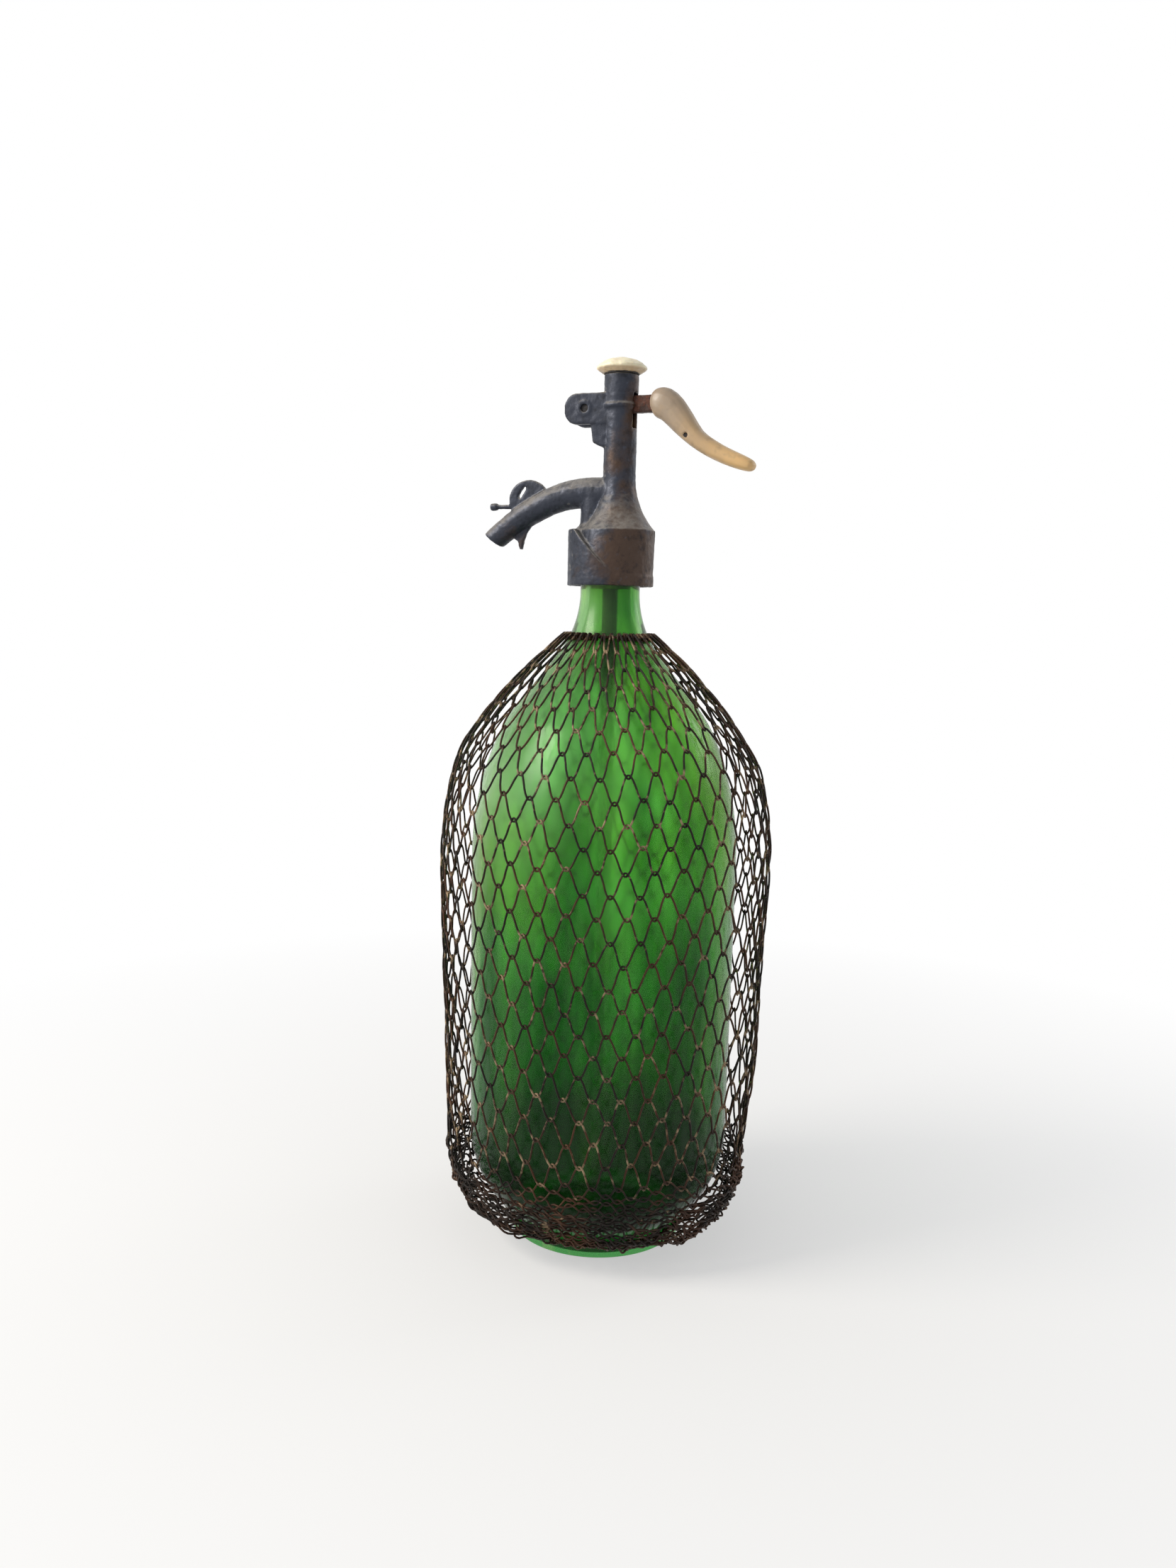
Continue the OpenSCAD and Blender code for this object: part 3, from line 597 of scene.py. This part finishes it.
def cap_plastic(settings):
    """Yellowed cream plastic, with painted shade on its lowest band."""
    f = Finish("cap_plastic")
    f.set(IOR=1.5, Subsurface_Weight=0.15, Subsurface_Scale=0.002,
          Subsurface_Radius=(1.0, 0.7, 0.35))
    stain = f.noise(240, 5, 0.65)
    amber, rim_shade = (0.72, 0.48, 0.22), (0.40, 0.22, 0.09)
    body = f.mix(f.ramp(stain, 0.56, 0.78, 0, 0.4), tuple(settings.cap), amber)
    # Painted shade: the cap's lowest band is drawn towards dark brown
    under = f.ramp(f.axis("Z"), CAP_HIGH.z - 4.8 * MM, CAP_HIGH.z - 4.1 * MM, 0.6, 0)
    f.colour(f.mix(under, body, rim_shade))
    f.gloss(f.ramp(stain, 0.3, 0.7, 0.35, 0.6))
    f.relief((stain, 0.3, 0.0005), (f.noise(1100, 4), 0.2, 0.00015))
    return f.material


# ---------- bottle ----------

PUNT_DEPTH = 2.5 * MM
PUNT_RADIUS = 28 * MM
FOOT_EDGE = 1 * MM
FOOT_HEIGHT = 8 * MM
FLOOR_Z = 6 * MM
HEEL_ROUND = 44.1 * MM
HEEL_Z = 42 * MM
WAIST_IN = 0.5 * MM
WAIST_END_Z = 120 * MM
WALL_Z = 154 * MM
SHOULDER_ROUND, SHOULDER_TURN = 115 * MM, 25
CREST_ROUND, CREST_TURN = 45 * MM, 38
NECK_SWEEP = 40 * MM
LIP_OUT, LIP_HEIGHT, LIP_EDGE = 1.9 * MM, 4 * MM, 1.2 * MM
EDGE_STEPS = 6
LONGEST_STEP = 6 * MM
TOUCHING = 0.01 * MM


def glass_outline(glass, depth):
    """The glass from heel to neck as (radius, height), drawn in by depth."""
    radius = BOTTLE_TOP.x
    shoulder = (radius - SHOULDER_ROUND, WALL_Z)
    reach, turn = SHOULDER_ROUND - CREST_ROUND, math.radians(SHOULDER_TURN)
    crest = (shoulder[0] + reach * math.cos(turn), shoulder[1] + reach * math.sin(turn))
    slope = math.radians(CREST_TURN)
    crest_end = (crest[0] + CREST_ROUND * math.cos(slope), crest[1] + CREST_ROUND * math.sin(slope))
    sweep_r = glass.neck_radius + NECK_SWEEP * (1 - math.cos(slope))
    sweep_z = crest_end[1] + (crest_end[0] - sweep_r) / math.tan(slope)
    hollow = (glass.neck_radius + NECK_SWEEP, sweep_z + NECK_SWEEP * math.sin(slope))
    heel = (radius - WAIST_IN - HEEL_ROUND, HEEL_Z)
    lowest = FLOOR_Z if depth else FOOT_HEIGHT
    start = math.degrees(math.asin((lowest - HEEL_Z) / (HEEL_ROUND - depth)))
    return (arc(heel, HEEL_ROUND - depth, start, 0)
            + [(radius - depth, WAIST_END_Z)]
            + arc(shoulder, SHOULDER_ROUND - depth, 0, SHOULDER_TURN)
            + arc(crest, CREST_ROUND - depth, SHOULDER_TURN, CREST_TURN)
            + arc(hollow, NECK_SWEEP + depth, 180 + CREST_TURN, 180))


def spread(outline, step):
    """An outline with its long straight stretches broken into short steps, and no point twice."""
    made = [outline[0]]
    for (r0, z0), (r1, z1) in zip(outline, outline[1:]):
        gap = math.hypot(r1 - r0, z1 - z0)
        if gap < TOUCHING:
            continue
        count = max(1, int(gap / step))
        for i in range(1, count + 1):
            made.append((r0 + (r1 - r0) * i / count, z0 + (z1 - z0) * i / count))
    return made


class SIPHON_OT_bottle(bpy.types.Operator):
    """Turn the glass bottle with its wall, punt and bead"""

    bl_idname = "siphon.bottle"
    bl_label = "Bottle"

    def execute(self, context):
        glass = context.scene.siphon_glass
        punt_round = (PUNT_RADIUS ** 2 + PUNT_DEPTH ** 2) / (2 * PUNT_DEPTH)
        lip = glass.neck_radius + LIP_OUT
        mouth = BOTTLE_TOP.z
        bore = glass.neck_radius - glass.wall
        punt_end = math.degrees(math.acos(PUNT_RADIUS / punt_round))
        outer = (arc((0, PUNT_DEPTH - punt_round), punt_round, 90, punt_end)
                 + [(glass.foot_radius - FOOT_EDGE, 0)]
                 + arc((glass.foot_radius - FOOT_EDGE, FOOT_EDGE), FOOT_EDGE, -90, 0, EDGE_STEPS)
                 + glass_outline(glass, 0)
                 + [(glass.neck_radius, mouth - LIP_HEIGHT)]
                 + arc((lip - LIP_EDGE, mouth - LIP_HEIGHT + LIP_EDGE),
                       LIP_EDGE, -90, 0, EDGE_STEPS)
                 + arc((lip - LIP_EDGE, mouth - LIP_EDGE), LIP_EDGE, 0, 90, EDGE_STEPS))
        inner = [(bore + LIP_EDGE, mouth), (bore, mouth - LIP_EDGE)]
        inner += glass_outline(glass, glass.wall)[::-1] + [(0, FLOOR_Z)]
        outline = spread(outer + inner, LONGEST_STEP)
        piece = mesh_piece("bottle_glass", *lathe(outline, glass.segments))
        wear(piece, green_glass(glass))
        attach(piece, "bottle")
        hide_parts("glass_bottle")
        return {"FINISHED"}


# ---------- netting ----------

# The netting's own outline, from the hoop at the foot to the hoop at the neck
NET_OUTLINE = [(r * MM, z * MM) for r, z in (
    (36.9, 7), (55.4, 17.5), (60.6, 52), (62.8, 88), (64.4, 124),
    (64.4, 160), (60.2, 188), (48.7, 208), (33.8, 225.5), (17.3, 240.6))]
# The rows that have sunk together, as distances along that outline
SUNK_MIDDLE, SUNK_REACH = 26 * MM, 19 * MM
WIRE_SIDES = 6
BEND = "bend"
NET_SEED, WRAP_SEED = 21, 5
CURVE_STEPS = 40
HALVINGS = 40
# Rows beside a hoop over which the unevenness grows to its full size
HELD_ROWS = 3
# The pull on the cells: a broad and a fine wave, per metre, and the share of the fine one
BROAD_WAVE, FINE_WAVE, FINE_SHARE = 24, 75, 0.45
# A bend's own random shift round and along the surface, and the share of the pull off it
ROUND_SHARE, ALONG_SHARE, OFF_SHARE = 0.2, 0.3, 0.8
# How far a hooked wire stands off the surface, in diameters, and the widest bend, in cells
HOOK_LIFT, BEND_SHARE = 0.56, 0.3
# The sunk wires' own waves off the surface: their size as a share of the unevenness, and how
# dense they are, per radian round and per metre along
TANGLE, TANGLE_ROUND, TANGLE_ALONG = 1.3, 12, 150


def smooth_outline(points, steps):
    """Points on the smooth curve through the given ones."""
    given = [Vector(p) for p in points]
    made = []
    for i in range(len(given) - 1):
        a, b, c, d = (given[min(max(j, 0), len(given) - 1)] for j in (i - 1, i, i + 1, i + 2))
        for k in range(steps):
            t = k / steps
            made.append(0.5 * (2 * b + (c - a) * t + (2 * a - 5 * b + 4 * c - d) * t * t
                               + (3 * b - a - 3 * c + d) * t ** 3))
    return made + [given[-1]]


class NetSurface:
    """The surface that the netting lies in.

    A place on it is (angle, way, off): the distance along the outline from the foot, and the
    height off the surface.
    """

    def __init__(self):
        self.line = smooth_outline(NET_OUTLINE, CURVE_STEPS)
        self.ways = [0.0]
        for p, q in zip(self.line, self.line[1:]):
            self.ways.append(self.ways[-1] + (q - p).length)
        self.length = self.ways[-1]

    def at(self, way):
        """(radius, height) and the direction outwards, at a distance along the outline."""
        way = min(max(way, 0), self.length)
        low = min(bisect.bisect_right(self.ways, way), len(self.ways) - 1) - 1
        high = low + 1
        share = (way - self.ways[low]) / (self.ways[high] - self.ways[low])
        along = (self.line[high] - self.line[low]).normalized()
        return self.line[low].lerp(self.line[high], share), Vector((along.y, -along.x))

    def point(self, angle, way, off=0.0):
        """A point off the netting's surface, and the direction outwards there."""
        place, out = self.at(way)
        spot = place + out * off
        turn = Vector((math.cos(angle), math.sin(angle)))
        return (Vector((spot.x * turn.x, spot.x * turn.y, spot.y)),
                Vector((out.x * turn.x, out.x * turn.y, out.y)))

    def levels(self, net):
        """Distances along the outline of the hooked bends.

        The strands have one length, so narrower cells are taller, and the lowest rows have sunk
        together. The length is found by halving.
        """
        rows = net.half_rows
        low, high = 0.0, 3 * self.length / rows
        for _ in range(HALVINGS):
            strand = (low + high) / 2
            ways = [0.0]
            for _ in range(rows):
                half_pitch = math.pi * self.at(ways[-1])[0].x / net.columns
                height = math.sqrt(max(strand ** 2 - half_pitch ** 2, 1e-8))
                ways.append(ways[-1] + (1 - sunk(net, ways[-1])) * height)
            if ways[-1] > self.length:
                high = strand
            else:
                low = strand
        return ways


def sunk(net, way):
    """How much of their room the rows have lost at a distance along the outline."""
    return net.squash * max(0, 1 - ((way - SUNK_MIDDLE) / SUNK_REACH) ** 4)


def net_knots(net, surface):
    """Where each bend hangs: knots[level][column] is (angle, way, off), pulled out of true."""
    dice = random.Random(NET_SEED)
    noise.seed_set(NET_SEED)
    knots = []
    for level, way in enumerate(surface.levels(net)):
        calm = min(1.0, level / HELD_ROWS, (net.half_rows - level) / HELD_ROWS)
        shift = net.unevenness * calm * (1 + sunk(net, way))
        row = []
        for column in range(net.columns):
            angle = 2 * math.pi * (column + level % 2 / 2) / net.columns
            spot, _ = surface.point(angle, way)
            pull = (noise.noise_vector(spot * BROAD_WAVE)
                    + FINE_SHARE * noise.noise_vector(spot * FINE_WAVE))
            radius = max(surface.at(way)[0].x, 20 * MM)
            row.append((angle + shift * (pull.x + ROUND_SHARE * dice.uniform(-1, 1)) / radius,
                        way + shift * (pull.y + ALONG_SHARE * dice.uniform(-1, 1)),
                        OFF_SHARE * shift * pull.z))
        knots.append(row)
    return knots


def cut_corners(path):
    """A path of (angle, way, off) once round the axis, with each of its corners cut off."""
    again = path[0] + Vector((2 * math.pi, 0, 0))
    made = []
    for p, q in zip(path, path[1:] + [again]):
        made.extend((p * 0.75 + q * 0.25, p * 0.25 + q * 0.75))
    return made


def net_ring(net, surface, knots, level):
    """The closed wire between one level of bends and the next, hooked over both."""
    lift = net.wire * HOOK_LIFT
    corners = []
    for step in range(2 * net.columns):
        upper = step % 2
        column = (step // 2 + level % 2 * upper) % net.columns
        angle, way, off = knots[level + upper][column]
        if corners and angle < corners[-1].x - math.pi:
            angle += 2 * math.pi
        radius = surface.at(way)[0].x
        width = min(net.bend_width / 2, math.pi * radius / net.columns * BEND_SHARE)
        way += net.hook if upper else -net.hook
        for side in (-1, 1):
            inside = (side > 0) != bool(upper)
            corners.append(Vector(
                (angle + side * width / radius, way, off + (-lift if inside else lift))))
    path = cut_corners(cut_corners(corners))
    for p in path:
        wave = noise.noise(Vector((p.x * TANGLE_ROUND, p.y * TANGLE_ALONG, level)))
        p.z += sunk(net, p.y) * TANGLE * net.unevenness * wave
    spots = [surface.point(p.x, p.y, p.z) for p in path]
    return sweep([s[0] for s in spots], [s[1] for s in spots], net.wire / 2, WIRE_SIDES, True)


def mark_bends(piece):
    """Stores which points of the netting belong to a bend, for its finish.

    Two rounds of cut corners give eight points to a bend with the leg after it. The fifth and
    sixth of them lie on the leg.
    """
    marks = piece.data.attributes.new(BEND, "FLOAT", "POINT")
    step = (1.0,) * 4 + (0.0,) * 2 + (1.0,) * 2
    shares = [step[i // WIRE_SIDES % len(step)] for i in range(len(piece.data.vertices))]
    marks.data.foreach_set("value", shares)


class SIPHON_OT_netting(bpy.types.Operator):
    """Bend the rings of wire that hook into each other and make the netting"""

    bl_idname = "siphon.netting"
    bl_label = "Netting"

    def execute(self, context):
        net = context.scene.siphon_net
        surface = NetSurface()
        knots = net_knots(net, surface)
        rings = [net_ring(net, surface, knots, level) for level in range(net.half_rows)]
        piece = mesh_piece("net_wires", *gather(rings))
        mark_bends(piece)
        wear(piece, iron_wire(net))
        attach(piece, "bottle")
        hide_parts("wire_net")
        return {"FINISHED"}


TWIST_PITCH = 1.1 * MM
TURN_STEPS = 10
# How often a wire may be wrapped round a hoop, and the pitch of its coils in wire diameters
WRAP_TURNS = (1.25, 1.75, 2.25)
WRAP_PITCH = 1.1


def twisted_hoop(radius, height, thick, twists):
    """Two strands twisted round each other into a hoop."""
    parts = []
    steps = twists * TURN_STEPS
    for start in (0, math.pi):
        path, outward = [], []
        for i in range(steps):
            turn = 2 * math.pi * i / steps
            twist = start + twists * turn
            out = Vector((math.cos(turn), math.sin(turn), 0))
            off = math.cos(twist) * out + math.sin(twist) * Vector((0, 0, 1))
            path.append(radius * out + off * thick * 0.5 + Vector((0, 0, height)))
            outward.append(off)
        parts.append(sweep(path, outward, thick * 0.5, WIRE_SIDES, True))
    return parts


def hoop_wraps(radius, height, thick, wire, count, phase):
    """Short coils of netting wire wrapped round a hoop, one for each column."""
    parts = []
    dice = random.Random(WRAP_SEED)
    for n in range(count):
        centre = 2 * math.pi * (n + phase) / count
        turns = dice.choice(WRAP_TURNS)
        steps = int(turns * TURN_STEPS)
        path, outward = [], []
        for i in range(steps + 1):
            twist = 2 * math.pi * turns * i / steps - 0.5 * math.pi
            slide = (i / steps - 0.5) * wire * WRAP_PITCH * turns / radius
            out = Vector((math.cos(centre + slide), math.sin(centre + slide), 0))
            off = math.cos(twist) * out + math.sin(twist) * Vector((0, 0, 1))
            path.append(radius * out + off * (thick + wire * 0.5) + Vector((0, 0, height)))
            outward.append(off)
        parts.append(sweep(path, outward, wire * 0.45, WIRE_SIDES, False))
    return parts


class SIPHON_OT_hoops(bpy.types.Operator):
    """Twist the hoops that gather the netting at the neck and at the foot"""

    bl_idname = "siphon.hoops"
    bl_label = "Hoops"

    def execute(self, context):
        net = context.scene.siphon_net
        rust = iron_wire(net, "hoop_wire", 0.16)
        hoops = (("hoop_neck", "net_top_hoop", TOP_HOOP_LOW, TOP_HOOP_HIGH, net.half_rows % 2 / 2),
                 ("hoop_foot", "net_base_hoop", BASE_HOOP_LOW, BASE_HOOP_HIGH, 0.0))
        for name, node, low, high, phase in hoops:
            thick = (high.z - low.z) / 2
            radius = high.x - thick
            height = (low.z + high.z) / 2
            parts = twisted_hoop(radius, height, thick, int(radius / TWIST_PITCH))
            parts += hoop_wraps(radius, height, thick, net.wire, net.columns, phase)
            piece = mesh_piece(name, *gather(parts))
            wear(piece, rust)
            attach(piece, "bottle")
            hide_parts(node)
        return {"FINISHED"}


# ---------- head ----------


class SIPHON_OT_head(bpy.types.Operator):
    """Give the cast head its softened edges and pitted surface"""

    bl_idname = "siphon.head"
    bl_label = "Head"

    def execute(self, context):
        head = context.scene.siphon_head
        piece = softened_copy("head_casting", "head_body", head.voxel, rounds=4)
        roughen(piece, head.pitting, scale=420, seed=3)
        wear(piece, cast_metal(head))
        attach(piece, "bottle")
        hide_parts("head_body")
        return {"FINISHED"}


class SIPHON_OT_fittings(bpy.types.Operator):
    """Finish the valve, the neck fittings and the dip tube"""

    bl_idname = "siphon.fittings"
    bl_label = "Fittings"

    def execute(self, context):
        brass = plain_metal("turned_brass", (0.62, 0.43, 0.17), (0.26, 0.17, 0.08))
        # Painted shade: the pivot pin and the grip rivet are near black, so that their ends read as
        # shaded holes
        dark = plain_metal("dark_steel", (0.03, 0.028, 0.029), (0.018, 0.012, 0.010),
                           metallic=0.4, rough=0.55)
        black = old_rubber("black_rubber", (0.022, 0.02, 0.02), (0.06, 0.055, 0.05))
        red = old_rubber("red_rubber", (0.26, 0.045, 0.03), (0.34, 0.12, 0.08))
        finishes = {
            brass: ("neck_ring_front", "neck_ring_rear", "tube_ferrule", "valve_seat", "valve_stem",
                    "disc_retainer", "packing_washer", "spring_seat"),
            dark: ("pivot_pin", "grip_rivet"),
            black: ("tube_seal", "stem_packing", "cap_washer"),
            red: ("neck_gasket", "valve_disc"),
            tube_glass(): ("dip_tube",),
        }
        for material, nodes in finishes.items():
            for node in nodes:
                finish_node(node, material)
        return {"FINISHED"}


class SIPHON_OT_spring(bpy.types.Operator):
    """Copy the return spring, which sits between the stem and its seat, and give it its finish"""

    bl_idname = "siphon.spring"
    bl_label = "Spring"

    def execute(self, context):
        piece = plain_copy("spring_coils", "return_spring")
        shade_smooth(piece)
        wear(piece, plain_metal("spring_wire", (0.52, 0.52, 0.55), (0.24, 0.22, 0.21)))
        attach(piece, "bottle")
        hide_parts("return_spring")
        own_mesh(piece)
        return {"FINISHED"}


# ---------- cap and lever ----------

FINE_VOXEL = 0.3 * MM


class SIPHON_OT_cap(bpy.types.Operator):
    """Give the domed cream cap its worn and uneven surface"""

    bl_idname = "siphon.cap"
    bl_label = "Cap"

    def execute(self, context):
        piece = softened_copy("cap_cream", "cap_plug", FINE_VOXEL, rounds=6)
        roughen(piece, depth=0.22 * MM, scale=260, seed=11)
        wear(piece, cap_plastic(context.scene.siphon_lever))
        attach(piece, "bottle")
        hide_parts("cap_plug")
        return {"FINISHED"}


class SIPHON_OT_lever(bpy.types.Operator):
    """Give the arm its rust and the moulded grip its soft edges"""

    bl_idname = "siphon.lever"
    bl_label = "Lever"

    def execute(self, context):
        lever = context.scene.siphon_lever
        arm = softened_copy("arm_iron", "lever_arm", FINE_VOXEL, rounds=3)
        roughen(arm, depth=0.1 * MM, scale=500, seed=17)
        wear(arm, rusted_iron(lever))
        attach(arm, "lever")
        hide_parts("lever_arm")
        grip = softened_copy("grip_moulded", "lever_grip", lever.voxel, rounds=14)
        wear(grip, grip_plastic(lever))
        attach(grip, "lever")
        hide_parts("lever_grip")
        return {"FINISHED"}


# ---------- stage ----------

# Where the lamps stand and what they face, before the turn to the camera's side
LIT_POINT = Vector((0, 0, 0.19))
KEY_PLACE, RIM_PLACE = Vector((-0.95, -0.3, 0.8)), Vector((0.85, 0.45, 0.55))
FLOOR_RINGS = [(0, 0), (0.4, 0), (1.5, 0), (6, 0)]


def lamp(name, place, size, power, colour=(1, 1, 1)):
    """A square soft lamp that faces the object."""
    light = bpy.data.lights.new(name, "AREA")
    light.size = size
    light.energy = power
    light.color = colour
    holder = scene_object(name, light)
    holder.location = place
    holder.rotation_euler = (LIT_POINT - place).to_track_quat("-Z", "Y").to_euler()


def seen_rays(tree):
    """1 for rays that show the background: straight, mirrored or through glass."""
    path = tree.nodes.new("ShaderNodeLightPath")
    total = path.outputs["Is Camera Ray"]
    for name in ("Is Glossy Ray", "Is Transmission Ray"):
        add = tree.nodes.new("ShaderNodeMath")
        add.operation = "MAXIMUM"
        tree.links.new(total, add.inputs[0])
        tree.links.new(path.outputs[name], add.inputs[1])
        total = add.outputs[0]
    return total


def pale_world(strength):
    """Even light from all round, and a white background wherever it is seen."""
    world = bpy.data.worlds.new("pale_world")
    world.use_nodes = True
    tree = world.node_tree
    light = tree.nodes["Background"]
    light.inputs["Color"].default_value = (1, 1, 1, 1)
    light.inputs["Strength"].default_value = strength
    shown = tree.nodes.new("ShaderNodeBackground")
    shown.inputs["Color"].default_value = (1, 1, 1, 1)
    blend = tree.nodes.new("ShaderNodeMixShader")
    tree.links.new(seen_rays(tree), blend.inputs[0])
    tree.links.new(light.outputs[0], blend.inputs[1])
    tree.links.new(shown.outputs[0], blend.inputs[2])
    tree.links.new(blend.outputs[0], tree.nodes["World Output"].inputs["Surface"])
    bpy.context.scene.world = world


def pale_floor():
    """A white floor that keeps the object's shadow and fades into the background."""
    floor = mesh_piece("floor", *lathe(FLOOR_RINGS, segments=96))
    material = bpy.data.materials.new("pale_floor")
    material.use_nodes = True
    tree = material.node_tree
    paint = tree.nodes["Principled BSDF"]
    paint.inputs["Base Color"].default_value = (0.86, 0.86, 0.86, 1)
    paint.inputs["Roughness"].default_value = 0.9
    paint.inputs["Specular IOR Level"].default_value = 0.0
    glow = tree.nodes.new("ShaderNodeEmission")
    glow.inputs["Strength"].default_value = 1.0
    place = tree.nodes.new("ShaderNodeTexCoord")
    distance = tree.nodes.new("ShaderNodeVectorMath")
    distance.operation = "LENGTH"
    tree.links.new(place.outputs["Object"], distance.inputs[0])
    fade = tree.nodes.new("ShaderNodeMapRange")
    for key, number in (("From Min", 0.06), ("From Max", 0.5), ("To Min", 0.5), ("To Max", 1.0)):
        fade.inputs[key].default_value = number
    tree.links.new(distance.outputs["Value"], fade.inputs["Value"])
    share = tree.nodes.new("ShaderNodeMath")
    share.operation = "MULTIPLY"
    tree.links.new(seen_rays(tree), share.inputs[0])
    tree.links.new(fade.outputs["Result"], share.inputs[1])
    blend = tree.nodes.new("ShaderNodeMixShader")
    tree.links.new(share.outputs[0], blend.inputs[0])
    tree.links.new(paint.outputs[0], blend.inputs[1])
    tree.links.new(glow.outputs[0], blend.inputs[2])
    tree.links.new(blend.outputs[0], tree.nodes["Material Output"].inputs["Surface"])
    wear(floor, material)


class SIPHON_OT_stage(bpy.types.Operator):
    """Set the pale floor, the soft lamps and the camera"""

    bl_idname = "siphon.stage"
    bl_label = "Stage"

    def execute(self, context):
        scene = context.scene
        stage = scene.siphon_stage
        pale_floor()
        pale_world(stage.sky)
        turn = Matrix.Rotation(stage.azimuth, 4, "Z")
        lamp("key", turn @ KEY_PLACE, size=0.5, power=stage.key, colour=(1, 0.94, 0.85))
        lamp("rim", turn @ RIM_PLACE, size=0.4, power=stage.rim)
        camera = bpy.data.cameras.new("camera")
        camera.sensor_width = 36
        camera.lens = stage.lens
        camera.clip_start = 0.01
        camera.clip_end = 100
        holder = scene_object("camera", camera)
        holder.matrix_world = (
            turn @ Matrix.Translation((0, -stage.distance, stage.height))
            @ Matrix.Rotation(stage.yaw, 4, "Z")
            @ Matrix.Rotation(math.pi / 2 - stage.pitch, 4, "X")
            @ Matrix.Rotation(stage.roll, 4, "Z"))
        scene.camera = holder
        scene.view_settings.view_transform = "Standard"
        return {"FINISHED"}


# ---------- panel and registration ----------

SETTINGS = {
    "siphon_glass": GlassSettings,
    "siphon_net": NetSettings,
    "siphon_head": HeadSettings,
    "siphon_lever": LeverSettings,
    "siphon_stage": StageSettings,
}

OPERATORS = (
    SIPHON_OT_bottle,
    SIPHON_OT_netting,
    SIPHON_OT_hoops,
    SIPHON_OT_head,
    SIPHON_OT_fittings,
    SIPHON_OT_spring,
    SIPHON_OT_cap,
    SIPHON_OT_lever,
    SIPHON_OT_stage,
)


class SIPHON_PT_panel(bpy.types.Panel):
    """Sidebar panel with the siphon's pieces and their settings"""

    bl_idname = "SIPHON_PT_panel"
    bl_label = "Soda Siphon"
    bl_space_type = "VIEW_3D"
    bl_region_type = "UI"
    bl_category = "Siphon"

    def draw(self, context):
        for operator in OPERATORS:
            self.layout.operator(operator.bl_idname)
        for name, group in SETTINGS.items():
            box = self.layout.box()
            for field in group.__annotations__:
                box.prop(getattr(context.scene, name), field)


CLASSES = (*SETTINGS.values(), *OPERATORS, SIPHON_PT_panel)


def register():
    for kind in CLASSES:
        bpy.utils.register_class(kind)
    for name, group in SETTINGS.items():
        setattr(bpy.types.Scene, name, bpy.props.PointerProperty(type=group))


def unregister():
    for name in SETTINGS:
        delattr(bpy.types.Scene, name)
    for kind in reversed(CLASSES):
        bpy.utils.unregister_class(kind)


def main():
    """Builds every piece and the stage."""
    register()
    bpy.ops.siphon.bottle()
    bpy.ops.siphon.netting()
    bpy.ops.siphon.hoops()
    bpy.ops.siphon.head()
    bpy.ops.siphon.fittings()
    bpy.ops.siphon.spring()
    bpy.ops.siphon.cap()
    bpy.ops.siphon.lever()
    bpy.ops.siphon.stage()


if __name__ == "__main__":
    main()
